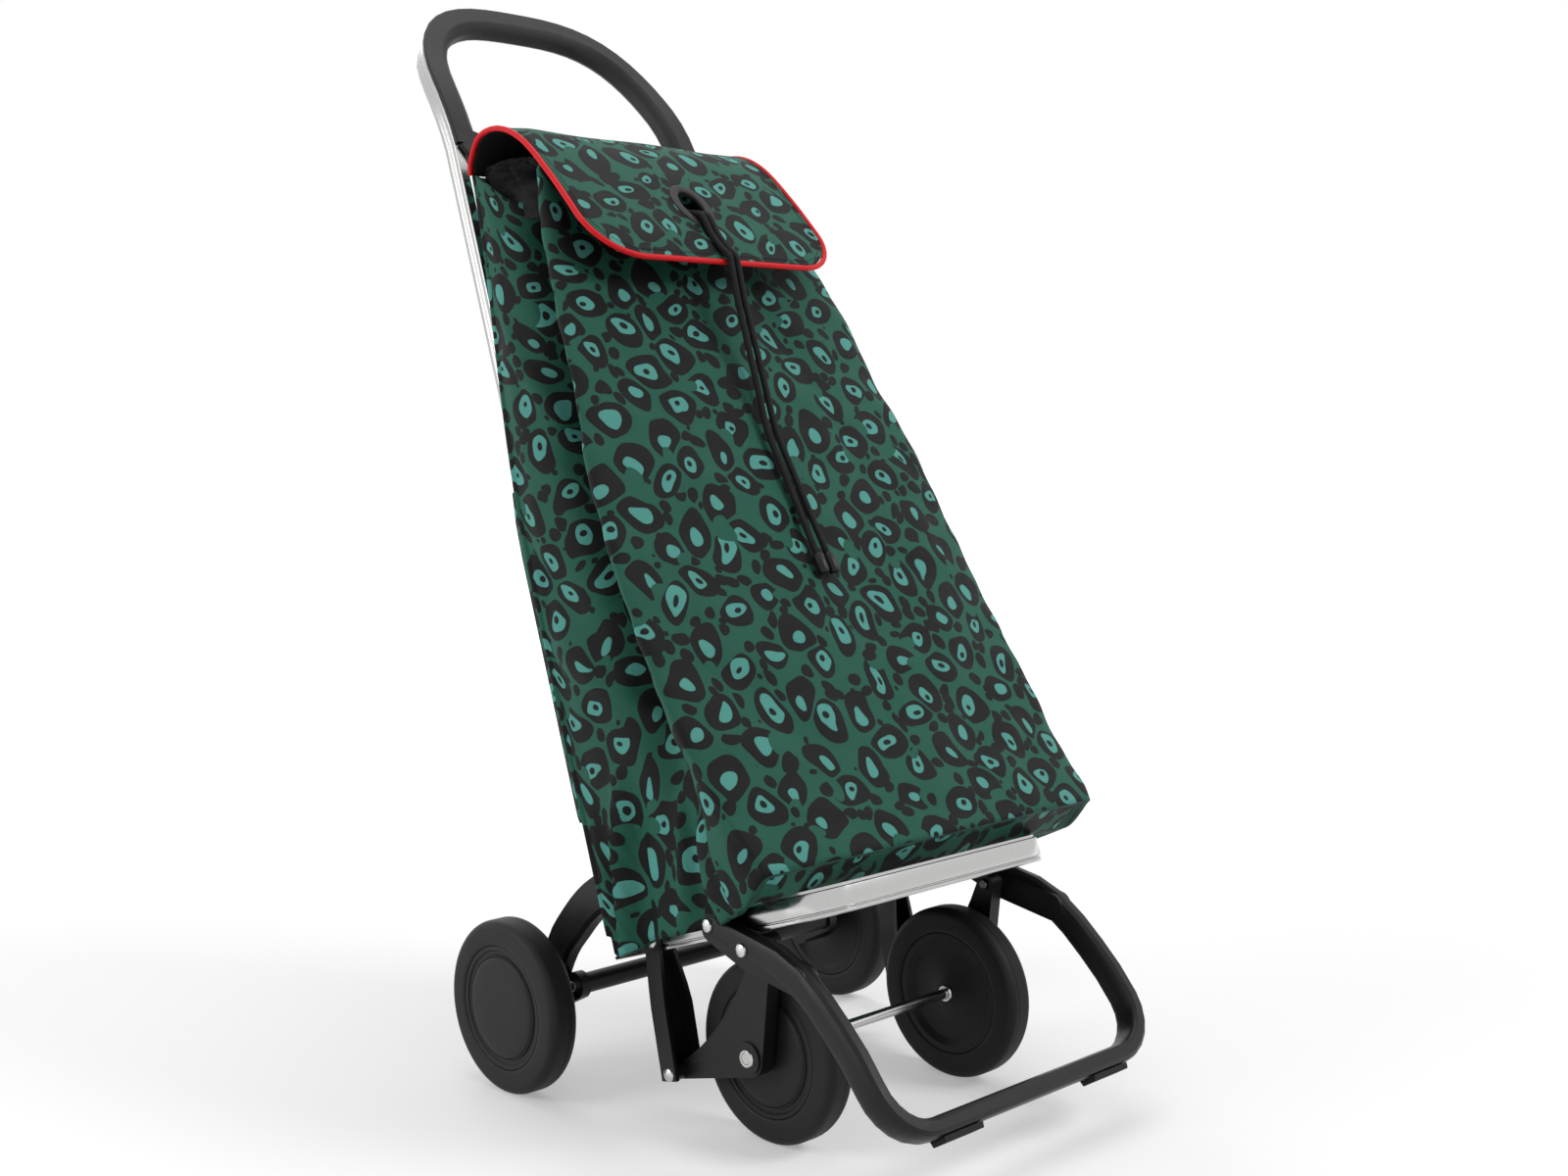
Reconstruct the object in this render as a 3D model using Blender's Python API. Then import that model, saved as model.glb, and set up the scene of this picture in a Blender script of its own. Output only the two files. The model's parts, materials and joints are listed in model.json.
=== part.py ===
"""Four-wheeled shopping trolley: a leaning aluminium frame, a fabric bag and a folding front undercarriage.

Metres, +Z up, the front of the trolley towards -Y. The parts are drawn with the rear axle at Y = 0
and the floor at Z = 0, and the whole trolley then hangs on one empty that puts the middle of its
footprint at the origin. Places on the leaning frame are given as x, a height up the uprights and a
distance in front of them.
"""

import math

import bmesh
import bpy
import numpy as np
from mathutils import Vector

# Fits: the gap between touching pieces, and the running gap of a pin in its hole
SEAT = 0.0003
PIN_PLAY = 0.0001

# Wheels
WHEEL_DIAMETER = 0.165
WHEEL_WIDTH = 0.0305
TYRE_DEPTH = 0.0235
TYRE_SHOULDER = 0.007
REAR_TRACK = 0.461
FRONT_TRACK = 0.2712
WHEELBASE = 0.2615
HUB_WEB = 0.009
HUB_BOSS_DIAMETER = 0.034
CAP_DIAMETER = 0.096
CAP_HEIGHT = 0.0035
AXLE_DIAMETER = 0.010
WHEEL_SEGMENTS = 40

# Leaning frame: an inverted U of extruded profile with a handle that bends further back
FRAME_TILT = math.radians(19.0)
FRAME_WIDTH = 0.322
HEEL_Y = -0.0864
HEEL_Z = 0.1424
UPRIGHT_SETBACK = 0.0055
PROFILE_DEPTH = 0.018
PROFILE_THICKNESS = 0.010
PROFILE_GROOVE = 0.0008
BEND_HEIGHT = 0.797
BEND_LENGTH = 0.080
HANDLE_TILT = math.radians(39.0)
ARCH_HEIGHT = 0.202
ARCH_POWER = 2.95

# Handle grip inside the arch
HANDLE_SETBACK = 0.011
GRIP_THICKNESS = 0.019
GRIP_LIP = 0.0045
CROSSBAR_DROP = 0.009
CROSSBAR_CORNER = 0.024
HANGER_WIDTH = 0.012
HANGER_THICKNESS = 0.0012
HANGER_DROP = 0.021
HANGER_INSET = 0.056

# Shelf rail: a U of extruded profile, square to the frame
SHELF_DEPTH = 0.2816
RAIL_ABOVE = 0.016
RAIL_BELOW = 0.009
RAIL_THICKNESS = 0.010
RAIL_CORNER = 0.045
BRACKET_THICKNESS = 0.006
BRACKET_RISE = 0.070
BRACKET_REACH = 0.040

# Rear arms, cross bar and stub axles
ARM_WIDTH = 0.015
ARM_DEPTH = 0.033
ARM_WALL = 0.0035
ARM_TOP = 0.056
ARM_HUB_DIAMETER = 0.034
LUG_THICKNESS = 0.010
BAR_DIAMETER = 0.0195
BAR_FORWARD = 0.037
BAR_HEIGHT = 0.0995
BOLT_DIAMETER = 0.010
BOLT_HEAD = 0.004

# Front undercarriage: pivots as height up the frame and distance in front of it
STRUT_PIVOT = (0.0013, 0.0624)
STRUT_LENGTH = 0.1194
STRUT_LEAN = math.radians(5.6)
FOOT_PIVOT = (0.0056, 0.1607)
LINK_PIVOT = (-0.0205, 0.1975)
RIVET_DIAMETER = 0.008
RIVET_HEAD_DIAMETER = 0.0125
RIVET_HEAD = 0.003
STRUT_DEPTH = 0.020
STRUT_WALL = 0.0038
STRUT_END_FACE = 0.1692
STRUT_SWING = 0.005
WHEEL_ARM_THICKNESS = 0.014
WHEEL_ARM_FACE = 0.1545
WHEEL_BOSS_FACE = 0.1565
WHEEL_BOSS_DIAMETER = 0.029
LINK_PLAY = 0.0012
RING_DIAMETER = 0.0165
RING_THICKNESS = 0.0016

# Foot loop and its pads
FOOT_ARM_WIDTH = 0.018
FOOT_ARM_DEPTH = 0.028
FOOT_BAR_FORWARD = 0.2110
FOOT_BAR_DROP = 0.1367
FOOT_CORNER = 0.045
PADDLE_RADIUS = 0.0125
PADDLE_DROP = 0.0045
PADDLE_REACH_SHARE = 0.42
PADDLE_END_SHARE = 0.46
EAR_DIAMETER = 0.0205
PAD_LENGTH = 0.0485
PAD_PLACE = 0.0998
PAD_THICKNESS = 0.005
PAD_DEPTH = 0.019

# Bag: half widths and depths at the foot, the belly and the mouth
BAG_WALL = 0.0025
BAG_BACK = 0.0266
BAG_FRONT_FOOT = 0.036
BAG_SKIRT = 0.0125
BAG_FOOT_WIDTH = 0.2155
BAG_MIDDLE_WIDTH = 0.2127
BAG_TOP_WIDTH = 0.1229
BAG_FOOT_DEPTH = 0.2923
BAG_MIDDLE_DEPTH = 0.1906
BAG_TOP_DEPTH = 0.1514
BAG_GATHER = 0.030
BAG_BACK_WIDTH = 0.1845
BAG_TOP_BACK_WIDTH = 0.1500
BAG_HANG = 0.026
BAG_RIM_DROP = 0.027
BAG_MOUTH_SLOPE = 0.28
BAG_SWELL = 0.008
GUSSET_FOLD = 0.052
BOARD_THICKNESS = 0.003
BOARD_MARGIN = 0.012
FLOOR_LIFT = 0.030
FLOOR_MIDDLE = 0.43
COLLAR_HEIGHT = 0.055
COLLAR_WALL = 0.002
POCKET_CLEARANCE = 0.006
POCKET_LOW = 0.117
POCKET_HIGH = 0.440
POCKET_BULGE = 0.030
POCKET_WALL = 0.002

# Flap over the mouth, its piping, eyelet and drawcord
FLAP_WIDTH = 0.305
FLAP_WALL = 0.0025
FLAP_HUMP = 0.029
FLAP_DROP = 0.146
FLAP_REACH = 0.164
FLAP_FOLD = 0.046
FLAP_CORNER = 0.050
PIPING_DIAMETER = 0.0055
EYELET_DISTANCE = 0.200
EYELET_LENGTH = 0.062
EYELET_WIDTH = 0.046
EYELET_RIM = 0.0100
EYELET_THICKNESS = 0.0045
CORD_DIAMETER = 0.0065
CORD_END_HEIGHT = 0.312
CORD_TIP_LENGTH = 0.020
CORD_TIP_DIAMETER = 0.0115

CROSSBAR_HEIGHT = BEND_HEIGHT - CROSSBAR_DROP
HANGER_PLACE = FRAME_WIDTH / 2 - HANGER_INSET
BAG_FLOOR = RAIL_ABOVE + SEAT
BAG_MOUTH_HEIGHT = CROSSBAR_HEIGHT - BAG_HANG
BAG_FRONT_RIM = BAG_MOUTH_HEIGHT - BAG_RIM_DROP
POCKET_WIDTH = FRAME_WIDTH - 2 * (PROFILE_THICKNESS + POCKET_CLEARANCE)
COS_TILT = math.cos(FRAME_TILT)
SIN_TILT = math.sin(FRAME_TILT)
WHEEL_RADIUS = WHEEL_DIAMETER / 2
HALF_FRAME = FRAME_WIDTH / 2
UP = np.array([0.0, SIN_TILT, COS_TILT])
AHEAD = np.array([0.0, -COS_TILT, SIN_TILT])
HEEL = np.array([0.0, HEEL_Y, HEEL_Z])
SIDES = {"left": -1, "right": 1}

FINISHES = {
    "polished_aluminium": ((0.80, 0.80, 0.79), 0.18, 1.0),
    "bright_steel": ((0.72, 0.72, 0.71), 0.25, 1.0),
    "black_moulding": ((0.020, 0.020, 0.021), 0.45, 0.0),
    "black_rubber": ((0.024, 0.024, 0.024), 0.70, 0.0),
    "print_cloth": ((0.020, 0.085, 0.062), 0.75, 0.0),
    "black_cloth": ((0.012, 0.012, 0.013), 0.55, 0.0),
    "red_piping": ((0.62, 0.016, 0.020), 0.55, 0.0),
    "black_cord": ((0.010, 0.010, 0.010), 0.80, 0.0),
}


def leaning(x, height, ahead):
    """Points at half-width x, a height up the leaning frame and a distance in front of it."""
    x, height, ahead = np.broadcast_arrays(np.asarray(x, float), height, ahead)
    spot = HEEL + height[..., None] * UP + ahead[..., None] * AHEAD
    spot[..., 0] = x
    return spot


def smoothstep(low, high, value):
    """Ease from 0 at low to 1 at high."""
    t = np.clip((np.asarray(value, float) - low) / (high - low), 0.0, 1.0)
    return t * t * (3 - 2 * t)


def through(points, steps):
    """Smooth curve through the points, with this many steps from each point to the next."""
    p = np.asarray(points, float)
    p = np.vstack([2 * p[0] - p[1], p, 2 * p[-1] - p[-2]])
    t = np.linspace(0, 1, steps, endpoint=False)[:, None]
    runs = []
    for a, b, c, d in zip(p[:-3], p[1:-2], p[2:-1], p[3:]):
        bend = (2 * a - 5 * b + 4 * c - d) * t**2 + (3 * b - a - 3 * c + d) * t**3
        runs.append(0.5 * (2 * b + (c - a) * t + bend))
    runs.append(p[-2:-1])
    return np.vstack(runs)


def evenly(points, count):
    """The same line cut into count points at equal steps."""
    steps = np.linalg.norm(np.diff(points, axis=0), axis=1)
    along = np.concatenate([[0.0], np.cumsum(steps)])
    wanted = np.linspace(0, along[-1], count)
    columns = [np.interp(wanted, along, column) for column in points.T]
    return np.stack(columns, axis=1)


def arc(centre, radius, start, stop, count):
    """Points on a circle in a plane, from one angle in degrees to another."""
    turn = np.radians(np.linspace(start, stop, count))
    return np.asarray(centre) + radius * np.stack([np.cos(turn), np.sin(turn)], axis=1)


class Sheet:
    """A sheet as wide as wanted that is bent along a side line in the Y-Z plane."""

    def __init__(self, side_line):
        """side_line holds the (y, z) points of the sheet seen from the side."""
        steps = np.linalg.norm(np.diff(side_line, axis=0), axis=1)
        self.along = np.concatenate([[0.0], np.cumsum(steps)])
        self.line = side_line
        run = np.gradient(side_line, self.along, axis=0)
        run /= np.linalg.norm(run, axis=1)[:, None]
        self.normal = np.stack([-run[:, 1], run[:, 0]], axis=1)
        self.run = run
        self.length = self.along[-1]

    def place(self, x, along, off):
        """World points at x, a distance along the side line and an offset off the sheet."""
        x, along, off = np.broadcast_arrays(np.asarray(x, float), along, off)
        past = along - np.clip(along, 0.0, self.length)
        spot = np.zeros(x.shape + (3,))
        spot[..., 0] = x
        for axis in (0, 1):
            base = np.interp(along, self.along, self.line[:, axis])
            slope = np.interp(along, self.along, self.run[:, axis])
            lift = np.interp(along, self.along, self.normal[:, axis])
            spot[..., axis + 1] = base + past * slope + off * lift
        return spot

    def sweep(self, path, section, closed=False):
        """Rings of a section carried along a path on the sheet: path in (x, along), section in (out, off).

        The section is one outline for the whole path, or one for each of its points.
        """
        if closed:
            run = np.roll(path, -1, axis=0) - np.roll(path, 1, axis=0)
        else:
            run = np.gradient(path, axis=0)
        run /= np.linalg.norm(run, axis=1)[:, None]
        out = np.stack([-run[:, 1], run[:, 0]], axis=1)
        section = np.broadcast_to(section, (len(path),) + section.shape[-2:])
        spread = path[:, None, :] + section[..., :1] * out[:, None, :]
        return self.place(spread[..., 0], spread[..., 1], section[..., 1])


def loft(rings, closed=False):
    """Vertices and faces of a skin over rings of points, with its ends capped unless it closes on itself."""
    count, size = rings.shape[:2]
    vertices = rings.reshape(-1, 3)
    faces = []
    for i in range(count if closed else count - 1):
        here = i * size
        there = ((i + 1) % count) * size
        for k in range(size):
            n = (k + 1) % size
            faces.append((here + k, here + n, there + n, there + k))
    if not closed:
        faces.append(tuple(range(size))[::-1])
        faces.append(tuple(range((count - 1) * size, count * size)))
    return vertices, faces


def pouch(rings, low_pole, high_pole):
    """Skin over rings that closes to a point at each end."""
    vertices, faces = loft(rings)
    count, size = rings.shape[:2]
    faces = faces[:-2]
    vertices = np.vstack([vertices, [low_pole], [high_pole]])
    low = count * size
    top = (count - 1) * size
    for k in range(size):
        n = (k + 1) % size
        faces.append((low, n, k))
        faces.append((low + 1, top + k, top + n))
    return vertices, faces


def prism(outline, near, far):
    """An outline in the Y-Z plane carried along X from near to far."""
    rings = np.zeros((2, len(outline), 3))
    rings[:, :, 1:] = outline
    rings[0, :, 0] = near
    rings[1, :, 0] = far
    return loft(rings)


def turned(profile, centre, segments=24):
    """A turned solid on an axis along X: profile of (x, radius) from one end to the other."""
    turn = np.linspace(0, 2 * math.pi, segments, endpoint=False)
    profile = np.asarray(profile, float)
    rings = np.zeros((len(profile), segments, 3))
    rings[:, :, 0] = profile[:, :1]
    rings[:, :, 1] = centre[1] + profile[:, 1:] * np.cos(turn)
    rings[:, :, 2] = centre[2] + profile[:, 1:] * np.sin(turn)
    return loft(rings)


def turned_ring(profile, centre, segments=WHEEL_SEGMENTS):
    """A turned ring on an axis along X: a closed profile of (x, radius) that keeps clear of the axis."""
    turn = np.linspace(0, 2 * math.pi, segments, endpoint=False)
    profile = np.asarray(profile, float)
    rings = np.zeros((segments, len(profile), 3))
    rings[:, :, 0] = profile[:, 0]
    rings[:, :, 1] = centre[1] + profile[:, 1] * np.cos(turn)[:, None]
    rings[:, :, 2] = centre[2] + profile[:, 1] * np.sin(turn)[:, None]
    return loft(rings, closed=True)


def strap(discs, count=32):
    """Outline of a band drawn tight round discs in the Y-Z plane, each as (centre, radius)."""
    points = []
    for turn in np.linspace(0, 2 * math.pi, count, endpoint=False):
        way = np.array([math.cos(turn), math.sin(turn)])
        points.append(max((centre + radius * way for centre, radius in discs), key=way.dot))
    return np.array(points)


def rounded(width, depth, sides, power=3.0):
    """Rounded section of a moulded bar, centred, as (out, off)."""
    turn = np.linspace(0, 2 * math.pi, sides, endpoint=False) + math.pi / sides
    c, s = np.cos(turn), np.sin(turn)
    across = np.sign(c) * np.abs(c) ** (2 / power) * width / 2
    deep = np.sign(s) * np.abs(s) ** (2 / power) * depth / 2
    return np.stack([across, deep], axis=1)


class Trolley:
    """Collects the pieces under the root empty and the empties on the joint axes."""

    def __init__(self):
        """Clear the scene and make the root empty and the finishes."""
        for old in list(bpy.data.objects):
            bpy.data.objects.remove(old, do_unlink=True)
        self.axes = {}
        self.finishes = {}
        for name, (colour, rough, metal) in FINISHES.items():
            material = bpy.data.materials.new(name)
            material.use_nodes = True
            shader = material.node_tree.nodes["Principled BSDF"]
            shader.inputs["Base Color"].default_value = (*colour, 1.0)
            shader.inputs["Roughness"].default_value = rough
            shader.inputs["Metallic"].default_value = metal
            self.finishes[name] = material
        self.root = self.axis("trolley", (0, 0, 0))

    def axis(self, name, spot, parent=None):
        """An empty on a joint axis, at a point given from the rear axle's middle on the floor."""
        empty = bpy.data.objects.new(name, None)
        bpy.context.scene.collection.objects.link(empty)
        empty["spot"] = [float(v) for v in spot]
        above = parent or self.axes.get("trolley")
        self.axes[name] = empty
        if above:
            empty.parent = above
            empty.location = Vector(spot) - Vector(above["spot"])
        return empty

    def piece(self, name, shape, finish, axis="trolley", smooth=40.0):
        """An object from vertices and faces, parented to the empty that it turns with."""
        vertices, faces = shape
        empty = self.axes[axis]
        local = np.asarray(vertices, float) - np.array(empty["spot"][:])
        mesh = bpy.data.meshes.new(name)
        mesh.from_pydata(local.tolist(), [], faces)
        form = bmesh.new()
        form.from_mesh(mesh)
        bmesh.ops.recalc_face_normals(form, faces=form.faces)
        form.to_mesh(mesh)
        form.free()
        mesh.shade_smooth()
        mesh.set_sharp_from_angle(angle=math.radians(smooth))
        made = bpy.data.objects.new(name, mesh)
        made.data.materials.append(self.finishes[finish])
        made.parent = empty
        bpy.context.scene.collection.objects.link(made)
        return made

    def tool(self, name, shape, axis="trolley"):
        """A cutter or an addition for a Boolean, which is not a piece by itself."""
        made = self.piece(name, shape, "bright_steel", axis)
        made.hide_render = True
        made.display_type = "WIRE"
        return made

    @staticmethod
    def combine(target, operation, *tools):
        """Cut the tools out of a piece, or join them to it."""
        for tool in tools:
            step = target.modifiers.new(tool.name, "BOOLEAN")
            step.operation = operation
            step.object = tool
            step.solver = "EXACT"


def frame_sheet():
    """The back plane of the uprights, bent further back for the handle; along is the height up the frame."""
    base = leaning(0, 0.0, UPRIGHT_SETBACK)[1:]
    straight = np.linspace(0, BEND_HEIGHT, 30)[:, None]
    line = base + straight * UP[1:]
    bend = np.linspace(0, 1, 17)[1:]
    angle = FRAME_TILT + (HANDLE_TILT - FRAME_TILT) * bend
    radius = BEND_LENGTH / (HANDLE_TILT - FRAME_TILT)
    curve_y = radius * (math.cos(FRAME_TILT) - np.cos(angle))
    curve_z = radius * (np.sin(angle) - math.sin(FRAME_TILT))
    curve = line[-1] + np.stack([curve_y, curve_z], axis=1)
    tail = np.linspace(0, ARCH_HEIGHT, 20)[1:, None]
    end = curve[-1] + tail * np.array([math.sin(HANDLE_TILT), math.cos(HANDLE_TILT)])
    plain = Sheet(np.vstack([line, curve, end]))
    back = HANDLE_SETBACK * smoothstep(BEND_HEIGHT - BEND_LENGTH, BEND_HEIGHT + 2 * BEND_LENGTH, plain.along)
    return Sheet(plain.line - back[:, None] * plain.normal)


def arch_line(inset, count):
    """The arch of the handle on the frame sheet, from the left leg to the right one, moved in by inset."""
    turn = np.linspace(0, math.pi, 241)
    c, s = np.cos(turn), np.sin(turn)
    x = -HALF_FRAME * np.sign(c) * np.abs(c) ** (2 / ARCH_POWER)
    along = BEND_HEIGHT + ARCH_HEIGHT * np.abs(s) ** (2 / ARCH_POWER)
    line = evenly(np.stack([x, along], axis=1), 8 * count - 7)
    run = np.gradient(line, axis=0)
    run /= np.linalg.norm(run, axis=1)[:, None]
    inward = np.stack([run[:, 1], -run[:, 0]], axis=1)
    return (line + inset * inward)[::8]


def build_frame(trolley):
    """Aluminium profile, handle grip, bag hangers and the brackets at the heel."""
    sheet = frame_sheet()
    foot = RAIL_ABOVE + SEAT
    arch = arch_line(0.0, 33)
    legs = [[-HALF_FRAME, foot]], [[HALF_FRAME, foot]]
    t, d, g = PROFILE_THICKNESS, PROFILE_DEPTH, PROFILE_GROOVE
    section = np.array(
        [
            (-g, 0.0),
            (0.0, g),
            (0.0, 0.30 * d),
            (-g, 0.34 * d),
            (-g, 0.40 * d),
            (0.0, 0.44 * d),
            (0.0, 0.56 * d),
            (-g, 0.60 * d),
            (-g, 0.66 * d),
            (0.0, 0.70 * d),
            (0.0, d - g),
            (-g, d),
            (-t, d),
            (-t, 0.0),
        ]
    )
    path = np.vstack([legs[0], arch, legs[1]])
    trolley.piece("frame_profile", loft(sheet.sweep(path, section)), "polished_aluminium")

    inset = t + SEAT + GRIP_THICKNESS / 2
    half = HALF_FRAME - inset
    low = CROSSBAR_HEIGHT
    r = CROSSBAR_CORNER
    left = arc((-half + r, low + r), r, 270, 180, 5)
    right = arc((half - r, low + r), r, 360, 270, 5)
    loop = np.vstack([left, arch_line(inset, 33), right])
    e, top = GRIP_THICKNESS / 2, d + SEAT + GRIP_LIP
    grip = np.array(
        [
            (-e, 0.25 * d),
            (-e, 0.75 * d),
            (-0.7 * e, top - 0.4 * e),
            (-0.1 * e, top),
            (e + t * 0.85, top),
            (e + t, top - 0.3 * GRIP_LIP),
            (e + t, d + SEAT),
            (e, d + SEAT),
            (e, 0.0),
            (-0.5 * e, 0.0),
        ]
    )
    trolley.piece("handle_grip", loft(sheet.sweep(loop, grip, closed=True), closed=True), "black_moulding")

    bar_top = low + GRIP_THICKNESS / 2 + SEAT
    bar_front = top + SEAT
    bar_back = -SEAT
    h = HANGER_THICKNESS
    hook = np.array(
        [
            (bar_top - HANGER_DROP, bar_front),
            (bar_top, bar_front),
            (bar_top, bar_back),
            (bar_top - HANGER_WIDTH, bar_back),
            (bar_top - HANGER_WIDTH, bar_back - h),
            (bar_top + h, bar_back - h),
            (bar_top + h, bar_front + h),
            (bar_top - HANGER_DROP, bar_front + h),
        ]
    )
    hook_side = sheet.place(0, hook[:, 0], hook[:, 1])[:, 1:]
    inner = HALF_FRAME - t - SEAT
    plate = np.array(
        [
            (-RAIL_BELOW, UPRIGHT_SETBACK),
            (-RAIL_BELOW, BRACKET_REACH),
            (RAIL_ABOVE * 0.4, BRACKET_REACH),
            (RAIL_ABOVE * 0.9, UPRIGHT_SETBACK + d),
            (BRACKET_RISE, UPRIGHT_SETBACK + d),
            (BRACKET_RISE, UPRIGHT_SETBACK),
        ]
    )
    plate_side = leaning(0, plate[:, 0], plate[:, 1])[:, 1:]
    for side, sign in SIDES.items():
        near = sign * (HANGER_PLACE - HANGER_WIDTH / 2)
        far = sign * (HANGER_PLACE + HANGER_WIDTH / 2)
        trolley.piece(f"bag_hanger_{side}", prism(hook_side, near, far), "bright_steel")
        bracket = prism(plate_side, sign * inner, sign * (inner - BRACKET_THICKNESS))
        trolley.piece(f"heel_bracket_{side}", bracket, "black_moulding")


def build_shelf(trolley):
    """The U-shaped shelf rail with holes for the rivets of the undercarriage."""
    ends = leaning(0, 0.0, np.linspace(-0.002, SHELF_DEPTH, 12))[:, 1:]
    sheet = Sheet(ends)
    deep = sheet.length
    r = RAIL_CORNER
    half = HALF_FRAME
    left = arc((-half + r, deep - r), r, 180, 90, 9)
    right = arc((half - r, deep - r), r, 90, 0, 9)
    path = np.vstack([[[-half, 0.0]], left, right, [[half, 0.0]]])
    g = PROFILE_GROOVE
    t, low, high = RAIL_THICKNESS, -RAIL_BELOW, RAIL_ABOVE
    section = np.array(
        [
            (-g, low),
            (0.0, low + g),
            (0.0, low + 4 * g),
            (-2 * g, low + 5 * g),
            (-2 * g, low + 6 * g),
            (0.0, low + 7 * g),
            (0.0, high - 4 * g),
            (-2 * g, high - 3 * g),
            (-2 * g, high),
            (-t, high),
            (-t, low),
        ]
    )
    section[:, 1] *= -1
    rail = trolley.piece("shelf_rail", loft(sheet.sweep(path, section)), "polished_aluminium")
    for name, pivot in (("strut_rivet_hole", STRUT_PIVOT), ("foot_rivet_hole", FOOT_PIVOT)):
        radius = RIVET_DIAMETER / 2 + SEAT
        drill = turned([(-half - r, radius), (half + r, radius)], leaning(0, *pivot))
        trolley.combine(rail, "DIFFERENCE", trolley.tool(name, drill))


def rear_arm_shape(sign):
    """Curved channel from the upright's heel back and down to the axle, open on its lower side."""
    root = leaning(0, ARM_TOP, UPRIGHT_SETBACK + PROFILE_DEPTH * 0.8)[1:]
    hub = np.array([0.0, WHEEL_RADIUS])
    rise = root - hub
    spots = [root]
    for back, down in ((0.79, 0.90), (0.60, 0.78), (0.41, 0.63), (0.24, 0.48), (0.09, 0.26), (0.0, 0.0)):
        spots.append(hub + rise * (back, down))
    sheet = Sheet(evenly(through(spots, 6), 15))
    w, wall, deep = ARM_WIDTH, ARM_WALL, ARM_DEPTH / 2
    section = np.array(
        [
            (0.0, deep),
            (w * 0.8, deep),
            (w, deep * 0.75),
            (w, -deep),
            (w - wall, -deep),
            (w - wall, deep - wall),
            (wall, deep - wall),
            (wall, -deep),
            (0.0, -deep),
        ]
    )
    inner = HALF_FRAME + SEAT
    slim = 1.0 - 0.2 * smoothstep(sheet.length * 0.4, sheet.length, sheet.along)
    rings = [
        sheet.place(sign * (inner + section[:, 0]), along, -section[:, 1] * thin)
        for along, thin in zip(sheet.along, slim)
    ]
    return loft(np.array(rings))


def build_rear(trolley):
    """Rear arms, cross bar, stub axles and the bolts that hold the bar."""
    hub = np.array([0.0, 0.0, WHEEL_RADIUS])
    bar = np.array([0.0, -BAR_FORWARD, BAR_HEIGHT])
    inner = HALF_FRAME + SEAT
    lug_outer = inner + LUG_THICKNESS
    wheel_inner = REAR_TRACK / 2 - WHEEL_WIDTH
    axle_r = AXLE_DIAMETER / 2
    bar_r = BAR_DIAMETER / 2
    bolt_r = BOLT_DIAMETER / 2
    reach = wheel_inner - 2 * SEAT
    for side, sign in SIDES.items():
        arm = trolley.piece(f"rear_arm_{side}", rear_arm_shape(sign), "black_moulding")
        boss = turned([(sign * inner, ARM_HUB_DIAMETER / 2), (sign * reach, ARM_HUB_DIAMETER / 2)], hub)
        blade = strap([(hub[1:], ARM_HUB_DIAMETER * 0.45), (bar[1:], bar_r + ARM_WALL)])
        lug = prism(blade, sign * inner, sign * lug_outer)
        trolley.combine(arm, "UNION", trolley.tool(f"rear_arm_boss_{side}", boss))
        trolley.combine(arm, "UNION", trolley.tool(f"rear_lug_{side}", lug))
        drill = turned([(0.0, axle_r + SEAT), (sign * REAR_TRACK, axle_r + SEAT)], hub, 20)
        socket = turned([(0.0, bar_r + SEAT), (sign * (lug_outer - ARM_WALL), bar_r + SEAT)], bar)
        screw = turned([(0.0, bolt_r / 2 + SEAT), (sign * REAR_TRACK, bolt_r / 2 + SEAT)], bar, 16)
        trolley.combine(arm, "DIFFERENCE", trolley.tool(f"rear_axle_hole_{side}", drill))
        trolley.combine(arm, "DIFFERENCE", trolley.tool(f"rear_bar_socket_{side}", socket))
        trolley.combine(arm, "DIFFERENCE", trolley.tool(f"rear_bolt_hole_{side}", screw))
        stub = [
            (sign * (inner - RING_THICKNESS), axle_r * 1.5),
            (sign * (inner - SEAT), axle_r * 1.5),
            (sign * (inner - SEAT), axle_r),
            (sign * (REAR_TRACK / 2 - CAP_HEIGHT - SEAT), axle_r),
        ]
        trolley.piece(f"rear_axle_{side}", turned(stub, hub, 20), "bright_steel")
        head = lug_outer + SEAT
        bolt = [
            (sign * (lug_outer - ARM_WALL + SEAT), bolt_r / 2),
            (sign * head, bolt_r / 2),
            (sign * head, bolt_r),
            (sign * (head + BOLT_HEAD * 0.6), bolt_r),
            (sign * (head + BOLT_HEAD), bolt_r * 0.6),
        ]
        trolley.piece(f"bar_bolt_{side}", turned(bolt, bar, 16), "bright_steel")
    end = lug_outer - ARM_WALL - SEAT
    trolley.piece("rear_cross_bar", turned([(-end, bar_r), (end, bar_r)], bar), "black_moulding")


def wheel_profile(sign, outer):
    """Closed profile of a tyre between its inner and outer faces."""
    inner = outer - WHEEL_WIDTH
    r, depth, round_off = WHEEL_RADIUS, TYRE_DEPTH, TYRE_SHOULDER
    points = [
        (inner, r - depth),
        (inner, r - round_off),
        (inner + 0.3 * round_off, r - 0.3 * round_off),
        (inner + round_off, r),
        (outer - round_off, r),
        (outer - 0.3 * round_off, r - 0.3 * round_off),
        (outer, r - round_off),
        (outer, r - depth),
    ]
    return [(sign * x, y) for x, y in points]


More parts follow.
